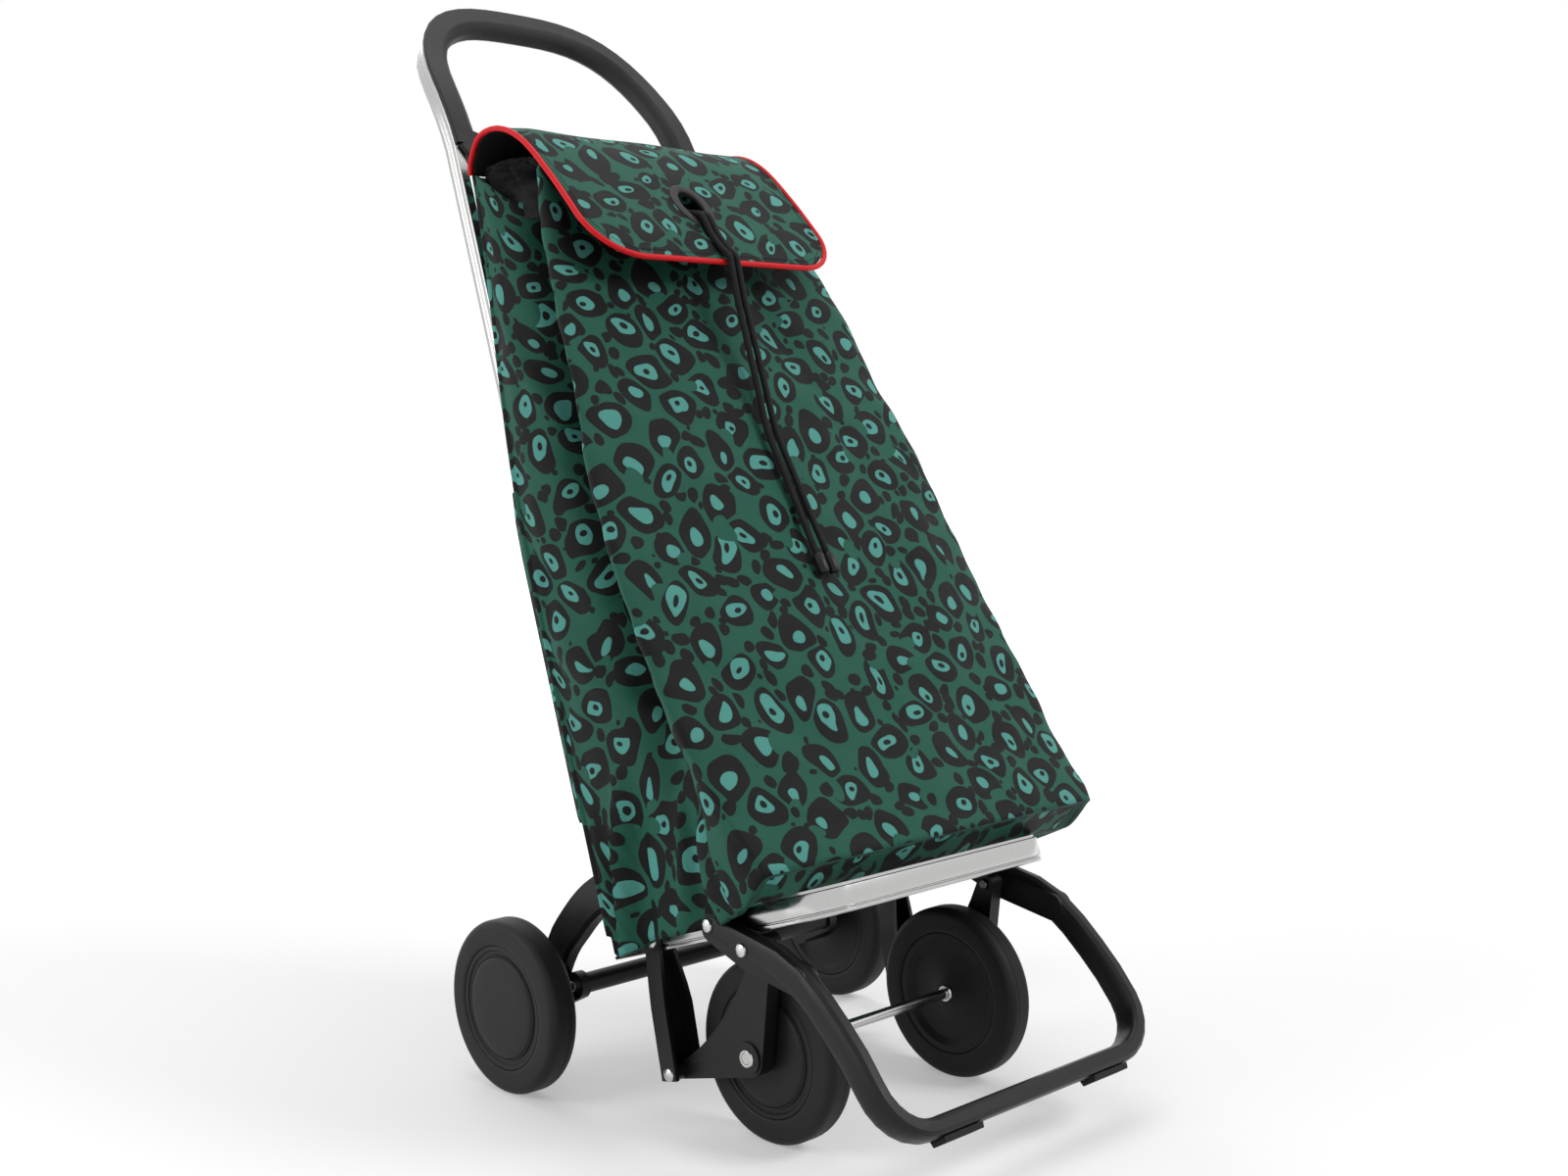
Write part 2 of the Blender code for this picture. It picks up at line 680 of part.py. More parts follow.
def hub_profile(sign, outer, bore):
    """Closed profile of a wheel centre: rim, web and boss round the bore."""
    inner = outer - WHEEL_WIDTH
    rim = WHEEL_RADIUS - TYRE_DEPTH - SEAT
    lip = 0.006
    mid = (inner + outer) / 2
    boss = HUB_BOSS_DIAMETER / 2
    points = [
        (inner + SEAT, bore),
        (inner + SEAT, boss),
        (mid - HUB_WEB / 2, boss + lip),
        (mid - HUB_WEB / 2, rim - lip),
        (inner + lip / 2, rim - lip / 2),
        (inner + lip / 2, rim),
        (outer - lip / 2, rim),
        (outer - lip / 2, rim - lip / 2),
        (outer - CAP_HEIGHT - SEAT, rim - lip),
        (outer - CAP_HEIGHT - SEAT, bore),
    ]
    return [(sign * x, y) for x, y in points]


def build_wheels(trolley):
    """Four wheels: tyre and centre each, with a cap over the rear stub axles."""
    rows = {"rear": (REAR_TRACK / 2, 0.0), "front": (FRONT_TRACK / 2, -WHEELBASE)}
    bore = AXLE_DIAMETER / 2 + PIN_PLAY
    for row, (outer, y) in rows.items():
        for side, sign in SIDES.items():
            centre = np.array([0.0, y, WHEEL_RADIUS])
            name = f"{row}_wheel_{side}"
            parent = trolley.axes["front_carriage"] if row == "front" else None
            trolley.axis(name, (sign * outer, y, WHEEL_RADIUS), parent)
            tyre = turned_ring(wheel_profile(sign, outer), centre)
            trolley.piece(f"{row}_tyre_{side}", tyre, "black_rubber", name)
            hub = turned_ring(hub_profile(sign, outer, bore), centre)
            trolley.piece(f"{row}_hub_{side}", hub, "black_moulding", name)
            r = CAP_DIAMETER / 2
            back = outer - CAP_HEIGHT
            profile = [(back, r), (outer - CAP_HEIGHT / 3, r), (outer, r * 0.93)]
            if row == "rear":
                cap = turned([(sign * a, b) for a, b in profile], centre, 32)
            else:
                hole = [(outer, bore), (back, bore)]
                cap = turned_ring([(sign * a, b) for a, b in profile + hole], centre, 32)
            trolley.piece(f"{row}_cap_{side}", cap, "black_moulding", name)


def strut_axis_points():
    """Upper and lower pivots of a strut in the Y-Z plane."""
    upper = leaning(0, *STRUT_PIVOT)
    drop = STRUT_LENGTH * math.cos(STRUT_LEAN)
    back = STRUT_LENGTH * math.sin(STRUT_LEAN)
    lower = leaning(0, STRUT_PIVOT[0] - drop, STRUT_PIVOT[1] - back)
    return upper, lower


def rivet(trolley, name, spot, near, far, axis):
    """A rivet along X from its flush end near to its domed head past far."""
    sign = math.copysign(1, far)
    r, head = RIVET_DIAMETER / 2, RIVET_HEAD_DIAMETER / 2
    seat = far + sign * SEAT
    profile = [
        (near, r),
        (seat, r),
        (seat, head),
        (seat + sign * RIVET_HEAD * 0.5, head * 0.92),
        (seat + sign * RIVET_HEAD, head * 0.45),
    ]
    return trolley.piece(name, turned(profile, spot, 16), "bright_steel", axis)


def pivot_drill(trolley, name, spot, play, sign, axis):
    """A long drill through one side's links at a pivot."""
    radius = RIVET_DIAMETER / 2 + play
    shape = turned([(sign * 0.10, radius), (sign * 0.20, radius)], spot, 20)
    return trolley.tool(name, shape, axis)


def build_struts(trolley):
    """Channel struts that hang from the rail and carry the back of the wheel arms."""
    upper, lower = strut_axis_points()
    line = lower - upper
    down = line / np.linalg.norm(line)
    ahead = np.array([0.0, down[2], -down[1]])
    clear = 2 * SEAT
    rail_in, rail_out = HALF_FRAME - RAIL_THICKNESS - clear, HALF_FRAME + clear
    arm_in = WHEEL_ARM_FACE - WHEEL_ARM_THICKNESS - clear
    arm_out = STRUT_END_FACE - STRUT_WALL
    back, front = -0.58 * STRUT_DEPTH, 0.42 * STRUT_DEPTH
    over = EAR_DIAMETER / 2
    length = STRUT_LENGTH
    stations = [-over * 0.9, over * 0.6, length * 0.36, length * 0.5, length - over * 0.8, length + over * 0.6]
    into = smoothstep(stations[1], stations[3], stations)
    for side, sign in SIDES.items():
        rings = []
        for at, share in zip(stations, into):
            low_in = rail_in + (arm_in - rail_in) * share
            high_out = rail_out + (arm_out - rail_out) * share
            a, b = low_in - STRUT_WALL, high_out + STRUT_WALL
            outline = [
                (a, back),
                (b, back),
                (b, front),
                (high_out, front),
                (high_out, back + STRUT_WALL),
                (low_in, back + STRUT_WALL),
                (low_in, front),
                (a, front),
            ]
            spot = upper + at * down
            rings.append([spot + deep * ahead + np.array([sign * x, 0, 0]) for x, deep in outline])
        strut = trolley.piece(f"strut_{side}", loft(np.array(rings)), "black_moulding", f"strut_{side}_axis")
        gap_half = STRUT_DEPTH
        gap_foot = (STRUT_PIVOT[0] + RAIL_BELOW) * 1.06 + STRUT_SWING
        window = [
            upper + (-over * 2) * down - gap_half * ahead,
            upper + gap_foot * down - gap_half * ahead,
            upper + gap_foot * down + gap_half * ahead,
            upper + (-over * 2) * down + gap_half * ahead,
        ]
        slot = prism(np.array(window)[:, 1:], sign * rail_in, sign * rail_out)
        tools = [
            trolley.tool(f"strut_rail_slot_{side}", slot, f"strut_{side}_axis"),
            pivot_drill(trolley, f"strut_top_hole_{side}", upper, PIN_PLAY, sign, f"strut_{side}_axis"),
            pivot_drill(trolley, f"strut_end_hole_{side}", lower, SEAT, sign, f"strut_{side}_axis"),
        ]
        trolley.combine(strut, "DIFFERENCE", *tools)
        top_near = sign * (rail_in - STRUT_WALL - RIVET_HEAD)
        top_far = sign * (rail_out + STRUT_WALL)
        rivet(trolley, f"strut_rivet_{side}", upper, top_near, top_far, "trolley")
        end_near = sign * (arm_in - STRUT_WALL - RIVET_HEAD)
        end_far = sign * (arm_out + STRUT_WALL)
        rivet(trolley, f"strut_end_rivet_{side}", lower, end_near, end_far, f"strut_{side}_axis")


def wheel_arm_outline():
    """Side outline of a wheel arm: a gusset between the strut, the axle and the link pivot."""
    _, lower = strut_axis_points()
    rear = lower[1:]
    axle = np.array([-WHEELBASE, WHEEL_RADIUS])
    link = leaning(0, *LINK_PIVOT)[1:]
    r_rear, r_axle, r_link = 0.0072, 0.017, 0.0095

    def bearing(a, b):
        """Direction from a to b in degrees."""
        return math.degrees(math.atan2(b[1] - a[1], b[0] - a[0]))

    base = bearing(rear, axle)
    mast = bearing(axle, link)
    toe = arc(axle, r_axle, base + 90, mast + 90, 6)
    tip = arc(link, r_link, mast + 90, mast - 90, 8)
    heel = arc(rear, r_rear, base - 90, base - 270, 8)
    hollow = axle + 0.34 * (rear - axle) + 0.26 * (link - axle)
    t = np.linspace(0, 1, 10)[1:-1, None]
    inside = (1 - t) ** 2 * tip[-1] + 2 * t * (1 - t) * hollow + t**2 * heel[0]
    return np.vstack([toe, tip, inside, heel])


def build_front_carriage(trolley):
    """Wheel arms tied by the front axle, with their rings and the link rivets' clearance holes."""
    _, lower = strut_axis_points()
    axle = np.array([0.0, -WHEELBASE, WHEEL_RADIUS])
    link = leaning(0, *LINK_PIVOT)
    outline = wheel_arm_outline()
    inner = WHEEL_ARM_FACE - WHEEL_ARM_THICKNESS
    wheel_outer = FRONT_TRACK / 2
    axle_r = AXLE_DIAMETER / 2
    for side, sign in SIDES.items():
        shape = prism(outline, sign * inner, sign * WHEEL_ARM_FACE)
        arm = trolley.piece(f"wheel_arm_{side}", shape, "black_moulding", "front_carriage")
        boss_r = WHEEL_BOSS_DIAMETER / 2
        low = wheel_outer + 2 * SEAT
        boss = turned([(sign * low, boss_r), (sign * WHEEL_BOSS_FACE, boss_r)], axle)
        trolley.combine(arm, "UNION", trolley.tool(f"wheel_boss_{side}", boss, "front_carriage"))
        spacer_r = RIVET_DIAMETER * 0.85
        spacer_end = STRUT_END_FACE - STRUT_WALL - 2 * SEAT
        spacer = turned([(sign * (inner + SEAT), spacer_r), (sign * spacer_end, spacer_r)], lower, 20)
        trolley.combine(arm, "UNION", trolley.tool(f"wheel_arm_spacer_{side}", spacer, "front_carriage"))
        drill = turned([(sign * 0.10, axle_r + SEAT), (sign * 0.20, axle_r + SEAT)], axle, 20)
        tools = [
            trolley.tool(f"front_axle_hole_{side}", drill, "front_carriage"),
            pivot_drill(trolley, f"wheel_arm_hole_{side}", lower, PIN_PLAY, sign, "front_carriage"),
            pivot_drill(trolley, f"link_hole_{side}", link, LINK_PLAY, sign, "front_carriage"),
        ]
        trolley.combine(arm, "DIFFERENCE", *tools)
        ring_r = RING_DIAMETER / 2
        for where, at in (("outer", WHEEL_BOSS_FACE + SEAT), ("inner", wheel_outer - WHEEL_WIDTH - SEAT)):
            out = at + RING_THICKNESS if where == "outer" else at - RING_THICKNESS
            profile = [(at, axle_r + SEAT), (at, ring_r), (out, ring_r * 0.9), (out, axle_r + SEAT)]
            ring = turned_ring([(sign * a, b) for a, b in profile], axle, 20)
            trolley.piece(f"axle_ring_{where}_{side}", ring, "bright_steel", "front_carriage")
    end = WHEEL_BOSS_FACE + RING_THICKNESS
    trolley.piece("front_axle", turned([(-end, axle_r), (end, axle_r)], axle, 20), "bright_steel", "front_carriage")


def build_foot(trolley):
    """Foot loop: two curved arms and a bar in front, with pads under the bar and rivets at the links."""
    pivot = leaning(0, *FOOT_PIVOT)
    link = leaning(0, *LINK_PIVOT)
    reach = np.array([-FOOT_BAR_FORWARD, -FOOT_BAR_DROP])
    bar = pivot[1:] + reach
    spots = [pivot[1:]]
    for ahead, down in ((0.216, 0.059), (0.414, 0.133), (0.578, 0.273), (0.797, 0.575), (0.913, 0.797), (1, 1)):
        spots.append(pivot[1:] + reach * (ahead, down))
    line = evenly(through(spots, 8), 60)
    sheet = Sheet(line)
    inner = HALF_FRAME + 2 * SEAT
    middle = inner + FOOT_ARM_WIDTH / 2
    r = FOOT_CORNER
    deep = sheet.length
    left = arc((-middle + r, deep - r), r, 180, 90, 7)
    right = arc((middle - r, deep - r), r, 90, 0, 7)
    arm = np.linspace(0, deep - r, 9)[:-1]
    down = np.stack([np.full(8, -middle), arm], axis=1)
    up = np.stack([np.full(8, middle), arm[::-1]], axis=1)
    path = np.vstack([down, left, right, up])
    slim = EAR_DIAMETER / FOOT_ARM_DEPTH
    thick = slim + (1 - slim) * smoothstep(0.1 * deep, 0.4 * deep, path[:, 1])
    section = np.stack([rounded(FOOT_ARM_WIDTH, FOOT_ARM_DEPTH * share, 12, 3.0) for share in thick])
    loop = trolley.piece("foot_loop", loft(sheet.sweep(path, section)), "black_moulding", "foot_axis")
    below = np.array([0.0, PADDLE_DROP])
    on_arm = sheet.place(0.0, PADDLE_REACH_SHARE * deep, 0.0)[1:]
    paddle_in = max(HALF_FRAME, WHEEL_ARM_FACE) + 2 * SEAT
    for side, sign in SIDES.items():
        outer = sign * (inner + FOOT_ARM_WIDTH * 0.86)
        ear = turned([(sign * inner, EAR_DIAMETER / 2), (outer, EAR_DIAMETER / 2)], pivot)
        web = [
            (pivot[1:] - below, EAR_DIAMETER / 2),
            (link[1:] - below, PADDLE_RADIUS),
            (on_arm, FOOT_ARM_DEPTH * PADDLE_END_SHARE),
        ]
        for name, ends in (("rear", web[:2]), ("front", web[1:])):
            plate = prism(strap(ends), sign * paddle_in, outer)
            trolley.combine(loop, "UNION", trolley.tool(f"foot_web_{name}_{side}", plate, "foot_axis"))
        boss_in = WHEEL_ARM_FACE + 2 * SEAT
        boss = turned([(sign * boss_in, RIVET_HEAD_DIAMETER / 2), (outer, RIVET_HEAD_DIAMETER / 2)], link, 20)
        trolley.combine(loop, "UNION", trolley.tool(f"foot_ear_{side}", ear, "foot_axis"))
        trolley.combine(loop, "UNION", trolley.tool(f"foot_boss_{side}", boss, "foot_axis"))
        trolley.combine(
            loop,
            "DIFFERENCE",
            pivot_drill(trolley, f"foot_hole_{side}", pivot, PIN_PLAY, sign, "foot_axis"),
            pivot_drill(trolley, f"foot_link_hole_{side}", link, SEAT, sign, "foot_axis"),
        )
        face = inner + FOOT_ARM_WIDTH
        rail_in = HALF_FRAME - RAIL_THICKNESS - RIVET_HEAD
        rivet(trolley, f"foot_rivet_{side}", pivot, sign * rail_in, sign * face, "trolley")
        arm_in = WHEEL_ARM_FACE - WHEEL_ARM_THICKNESS - RIVET_HEAD
        rivet(trolley, f"link_rivet_{side}", link, sign * arm_in, sign * face, "foot_axis")
        ends = sign * PAD_PLACE + np.array([-0.5, 0.5]) * PAD_LENGTH
        off = np.linspace(-0.5, 0.5, 5) * PAD_DEPTH
        hollow = (1 - np.abs(2 * off / FOOT_ARM_DEPTH) ** 3) ** (1 / 3)
        seat = deep + hollow * FOOT_ARM_WIDTH / 2 + 2 * SEAT
        face = deep + FOOT_ARM_WIDTH / 2 + PAD_THICKNESS
        outline = np.vstack([np.stack([seat, off], axis=1), [(face, 0.42 * PAD_DEPTH), (face, -0.42 * PAD_DEPTH)]])
        pad = [sheet.place(x, outline[:, 0], outline[:, 1]) for x in ends]
        trolley.piece(f"foot_pad_{side}", loft(np.array(pad)), "black_rubber", "foot_axis")
    print("pad face at", np.round(sheet.place(PAD_PLACE, face, 0.0), 6), "facing", np.round(sheet.run[-1], 6))


def through_three(foot, middle, top, share):
    """Smooth change of a size from the foot through the middle to the top."""
    low = (1 - share) * (1 - 2 * share)
    return foot * low + middle * 4 * share * (1 - share) + top * share * (2 * share - 1)


def bag_sizes(height):
    """Half width and depth of the front, half width of the back and depth of the side fold at a height."""
    q = (height - BAG_FRONT_FOOT) / BAG_MOUTH_HEIGHT
    front = through_three(BAG_FOOT_WIDTH, BAG_MIDDLE_WIDTH, BAG_TOP_WIDTH, q)
    depth = through_three(BAG_FOOT_DEPTH, BAG_MIDDLE_DEPTH, BAG_TOP_DEPTH, q) - BAG_GATHER * smoothstep(0.6, 1.0, q)
    back = BAG_BACK_WIDTH + (BAG_TOP_BACK_WIDTH - BAG_BACK_WIDTH) * smoothstep(0.42, 1.0, q)
    fold = GUSSET_FOLD * smoothstep(0.10, 0.40, q) * (1 - 0.25 * smoothstep(0.6, 1.0, q))
    return front, depth, back, fold


def bag_outline(height, inset=0.0):
    """Half outline of the bag at a height, from the middle of the back to the middle of the front, as (x, ahead)."""
    front, depth, back, fold = bag_sizes(height)
    swell = BAG_SWELL * (1 - smoothstep(0.5, 0.95, height / BAG_MOUTH_HEIGHT))
    front = front - inset * (1 + 3.4 * fold / GUSSET_FOLD)
    depth = depth - inset
    back = back - inset
    rear = BAG_BACK + inset
    span = depth - rear
    return np.array(
        [
            (0.0, rear),
            (back * 0.5, rear),
            (back - 0.006, rear),
            (back, rear + 0.006),
            (back + 0.002, rear + span * 0.22),
            (back - fold * 0.35, rear + span * 0.45),
            (back + (front - back) * 0.5 - fold, rear + span * 0.64),
            (front - fold * 0.55, rear + span * 0.82),
            (front - fold * 0.12, rear + span * 0.95),
            (front, depth - 0.004),
            (front - 0.010, depth),
            (front * 0.5, depth + 0.7 * swell),
            (0.0, depth + swell),
        ]
    )


def whole_ring(half):
    """Both sides of a half outline, as one closed ring."""
    mirror = half[1:-1][::-1] * (-1, 1)
    return np.vstack([half, mirror])


def bag_ring(share, inset=0.0):
    """World points of the bag's wall at a share of its height, from its skirt to its mouth."""
    guess = BAG_FRONT_FOOT + share * (BAG_FRONT_RIM - BAG_FRONT_FOOT)
    ring = whole_ring(bag_outline(guess, inset))
    mouth = BAG_MOUTH_HEIGHT - BAG_MOUTH_SLOPE * (ring[:, 1] - BAG_BACK)
    side = smoothstep(BAG_BACK_WIDTH - 0.006, BAG_BACK_WIDTH - 0.002, np.abs(ring[:, 0]))
    foot = bag_floor(ring[:, 1]) - BAG_SKIRT * side * (1 - smoothstep(0.17, 0.27, ring[:, 1]))
    height = foot + share * (mouth - foot)
    return leaning(ring[:, 0], height, ring[:, 1])


def bag_floor(ahead):
    """Height of the bag's underside: flat on the rail, lifting towards the front seam."""
    return BAG_FLOOR + (BAG_FRONT_FOOT - BAG_FLOOR) * smoothstep(SHELF_DEPTH - FLOOR_LIFT, BAG_FOOT_DEPTH, ahead)


def floor_ring(scale, lift):
    """World points of a ring on the bag's floor, drawn in towards the middle by a scale."""
    ring = whole_ring(bag_outline(BAG_FRONT_FOOT, BAG_WALL))
    middle = np.array([0.0, BAG_FOOT_DEPTH * FLOOR_MIDDLE])
    spots = middle + (ring - middle) * scale
    return leaning(spots[:, 0], bag_floor(spots[:, 1]) + lift, spots[:, 1])


def build_bag(trolley):
    """Hollow bag, its board, its drawstring collar and the pocket on its back."""
    shares = [0.0, 0.06, 0.13, 0.2, 0.28, 0.36, 0.45, 0.54, 0.63, 0.72, 0.8, 0.87, 1 - COLLAR_HEIGHT / BAG_MOUTH_HEIGHT, 1.0]
    middle = FLOOR_MIDDLE * BAG_FOOT_DEPTH
    level = (SHELF_DEPTH - FLOOR_LIFT - middle) / (BAG_FOOT_DEPTH + BAG_SWELL - middle)
    rings = [floor_ring(level, 0.0), floor_ring(1.0, 0.0)]
    rings += [bag_ring(share) for share in shares]
    rings += [bag_ring(share, BAG_WALL) for share in shares[:0:-1]]
    rings += [floor_ring(1.0, BAG_WALL), floor_ring(level, BAG_WALL)]
    shape = pouch(np.array(rings), rings[0].mean(axis=0), rings[-1].mean(axis=0))
    trolley.piece("bag_shell", shape, "print_cloth", smooth=60.0)

    wide = BAG_BACK_WIDTH - BOARD_MARGIN
    near, far = BAG_BACK + BOARD_MARGIN, SHELF_DEPTH * 0.72
    plan = np.array([(-wide, near), (wide, near), (wide, far), (-wide, far)])
    low = BAG_FLOOR + BAG_WALL + SEAT
    slab = [leaning(plan[:, 0], low + lift, plan[:, 1]) for lift in (0.0, BOARD_THICKNESS)]
    trolley.piece("bag_base_board", loft(np.array(slab)), "black_moulding")

    outside = BAG_WALL + 7 * SEAT
    inside = outside + COLLAR_WALL
    band = [bag_ring(shares[-2], outside), bag_ring(1.0, outside), bag_ring(1.0, inside), bag_ring(shares[-2], inside)]
    trolley.piece("drawstring_collar", loft(np.array(band), closed=True), "black_cloth", smooth=60.0)

    trolley.piece("rear_pocket", pocket_shape(), "print_cloth", smooth=60.0)


def pocket_shape():
    """Flat pouch on the bag's back between the uprights, open at its top."""

    def ring(height, grow, inset):
        half = POCKET_WIDTH / 2 - inset
        front = BAG_BACK - SEAT - inset
        back = front + inset - POCKET_BULGE * grow + inset
        outline = [(-half, front), (half, front), (half * 0.97, back), (0.0, back - 0.006 * grow), (-half * 0.97, back)]
        points = np.array(outline)
        return leaning(points[:, 0], height, points[:, 1])

    tall = POCKET_HIGH - POCKET_LOW
    shares = [0.0, 0.06, 0.35, 0.7, 1.0]
    swell = [0.55, 0.85, 1.0, 0.95, 0.85]
    outside = [ring(POCKET_LOW + share * tall, grow, 0.0) for share, grow in zip(shares, swell)]
    inside = [ring(POCKET_LOW + share * tall, grow, POCKET_WALL) for share, grow in zip(shares, swell)][::-1]
    inside[-1] = ring(POCKET_LOW + POCKET_WALL, swell[0], POCKET_WALL)
    rings = np.array(outside + inside)
    return pouch(rings, outside[0].mean(axis=0), inside[-1].mean(axis=0))


def flap_sheet():
    """Side line of the flap: up from its seam on the back, over the mouth and down the front."""
    rise = FLAP_HUMP * np.array([SEAT / FLAP_HUMP, 0.48, 1.0, 0.76, 0, 0, 0, 0])
    fall = FLAP_DROP * np.array([0, 0, 0, 0, 0.027, 0.342, 0.685, 1.0])
    ahead = FLAP_REACH * np.array([0, 0.040, 0.171, 0.366, 0.549, 0.720, 0.872, 1.0])
    spots = np.stack([BAG_MOUTH_HEIGHT + rise - fall, BAG_BACK + FLAP_WALL / 2 + ahead], axis=1)
    return Sheet(evenly(leaning(0, *through(spots, 8).T)[:, 1:], 60))


def flap_side(sheet, start):
    """Left edge of the flap on its sheet, from a start line down to the end of the rounded front corner."""
    half = FLAP_WIDTH / 2
    r = FLAP_CORNER
    turn = sheet.length - r
    down = np.stack([np.full(16, -half), np.linspace(start, turn, 17)[:-1]], axis=1)
    return np.vstack([down, arc((-half + r, turn), r, 180, 90, 8)])


def flap_cloth(sheet, left):
    """Rings of a piece of flap cloth between its left edge and the mirror of that edge."""
    x = -left[:, :1] * np.linspace(-1, 1, 9)[None, :]
    along = np.broadcast_to(left[:, 1:], x.shape)
    top = sheet.place(x, along, FLAP_WALL / 2)
    base = sheet.place(x, along, -FLAP_WALL / 2)
    return np.concatenate([top, base[:, ::-1]], axis=1)


def build_flap(trolley):
    """Fixed strip above the seam, then the lifting flap with red piping and an oval eyelet."""
    sheet = flap_sheet()
    half = FLAP_WIDTH / 2 + PIPING_DIAMETER + 2 * SEAT
    strip = np.stack([np.full(8, -half), np.linspace(0, FLAP_FOLD - SEAT / 2, 8)], axis=1)
    trolley.piece("flap_root", loft(flap_cloth(sheet, strip)), "print_cloth", smooth=60.0)
    rings = flap_cloth(sheet, flap_side(sheet, FLAP_FOLD + SEAT / 2))
    flap = trolley.piece("bag_flap", loft(rings), "print_cloth", "flap_axis", smooth=60.0)

    left = flap_side(sheet, FLAP_FOLD + PIPING_DIAMETER)
    edge = np.vstack([left, left[::-1] * (-1, 1)])
    bead = PIPING_DIAMETER / 2
    tube = rounded(2 * bead, 2 * bead, 8, 2.0) + (bead + 2 * SEAT, 0.0)
    trolley.piece("flap_piping", loft(sheet.sweep(edge, tube)), "red_piping", "flap_axis")

    oval = np.linspace(0, 2 * math.pi, 24, endpoint=False)
    ring_path = np.stack([np.cos(oval) * EYELET_WIDTH / 2, np.sin(oval) * EYELET_LENGTH / 2], axis=1)
    centre = np.array([0.0, EYELET_DISTANCE])
    half = EYELET_THICKNESS / 2
    wide = EYELET_RIM
    lip = np.array([(0.0, half), (wide, half), (wide, -half), (wide * 0.5, -half * 1.4), (0.0, -half)])
    ring = sheet.sweep(ring_path + centre, lip, closed=True)
    trolley.piece("flap_eyelet", loft(ring, closed=True), "black_moulding", "flap_axis")
    swell = 1 + SEAT / (EYELET_WIDTH / 2)
    hole = ring_path * swell + centre
    cut = np.stack([sheet.place(hole[:, 0], hole[:, 1], off) for off in (-0.02, 0.02)])
    trolley.combine(flap, "DIFFERENCE", trolley.tool("eyelet_hole", loft(cut), "flap_axis"))


def bag_front(height):
    """Distance of the middle of the bag's front at a height."""
    return bag_outline(height)[-1, 1]


def cord_route(sign):
    """Points of one drawcord strand: from the collar through the eyelet and down the front of the bag."""
    sheet = flap_sheet()
    x = sign * (CORD_DIAMETER / 2 + 3 * SEAT)
    rest = CORD_DIAMETER / 2 + SEAT
    on_flap = -FLAP_WALL / 2 - rest
    on_rim = -0.75 * EYELET_THICKNESS - rest
    hole = EYELET_LENGTH / 2 - EYELET_RIM
    rim = EYELET_LENGTH / 2
    steps = [(-hole, 0.016), (-0.1 * hole, 0.009), (0.5 * hole, -0.0006), (0.95 * hole, on_rim), (0.9 * rim, on_rim)]
    spots = [sheet.place(x, EYELET_DISTANCE + along, off) for along, off in steps]
    on_piping = -PIPING_DIAMETER / 2 - 1.1 * rest
    start, stop = EYELET_DISTANCE + rim + 0.010, sheet.length + PIPING_DIAMETER
    for share in (0.0, 0.4, 0.8, 1.0):
        off = on_piping if share > 0.5 else on_flap
        spots.append(sheet.place(x, start + (stop - start) * share, off))
    edge = BAG_MOUTH_HEIGHT - FLAP_DROP
    outside = BAG_BACK + FLAP_REACH + rest + 0.4 * PIPING_DIAMETER
    for height in np.linspace(edge - 0.045, CORD_END_HEIGHT, 7):
        share = (edge - height) / (edge - CORD_END_HEIGHT)
        ahead = max(outside + 0.25 * CORD_DIAMETER * (1 - share), bag_front(height) + 1.1 * rest)
        spots.append(leaning(x * (1 + 0.6 * share), height, ahead))
    return np.array(spots)


def build_cords(trolley):
    """Two free ends of the drawcord, each with a moulded tip."""
    for side, sign in SIDES.items():
        line = evenly(through(cord_route(sign), 8), 44)
        tube = bpy.data.curves.new(f"drawcord_{side}", "CURVE")
        tube.dimensions = "3D"
        run = tube.splines.new("POLY")
        run.points.add(len(line) - 1)
        for point, spot in zip(run.points, line):
            point.co = (*spot, 1.0)
        tube.bevel_depth = CORD_DIAMETER / 2
        tube.bevel_resolution = 2
        tube.use_fill_caps = True
        tube.materials.append(trolley.finishes["black_cord"])
        cord = bpy.data.objects.new(f"drawcord_{side}", tube)
        cord.parent = trolley.root
        bpy.context.scene.collection.objects.link(cord)

        way = line[-1] - line[-2]
        way /= np.linalg.norm(way)
        across = np.array([1.0, 0.0, 0.0])
        across -= way * (across @ way)
        across /= np.linalg.norm(across)
        other = np.cross(way, across)
        turn = np.linspace(0, 2 * math.pi, 12, endpoint=False)
        circle = np.cos(turn)[:, None] * across + np.sin(turn)[:, None] * other
        steps = [(0.0, 0.42), (0.15, 0.5), (0.85, 0.5), (1.0, 0.38)]
        start = line[-1] + way * SEAT
        rings = [start + way * at * CORD_TIP_LENGTH + circle * wide * CORD_TIP_DIAMETER for at, wide in steps]
        trolley.piece(f"cord_tip_{side}", loft(np.array(rings)), "black_moulding")


def stand_on_origin(trolley):
    """Move the root so that the middle of the footprint is at the origin."""
    bpy.context.view_layer.update()
    reach = []
    for piece in bpy.context.scene.objects:
        if piece.type == "MESH" and not piece.hide_render:
            reach += [(piece.matrix_world @ Vector(corner)).y for corner in piece.bound_box]
    trolley.root.location.y = -(min(reach) + max(reach)) / 2
    print("rear axle at y =", round(trolley.root.location.y, 6))


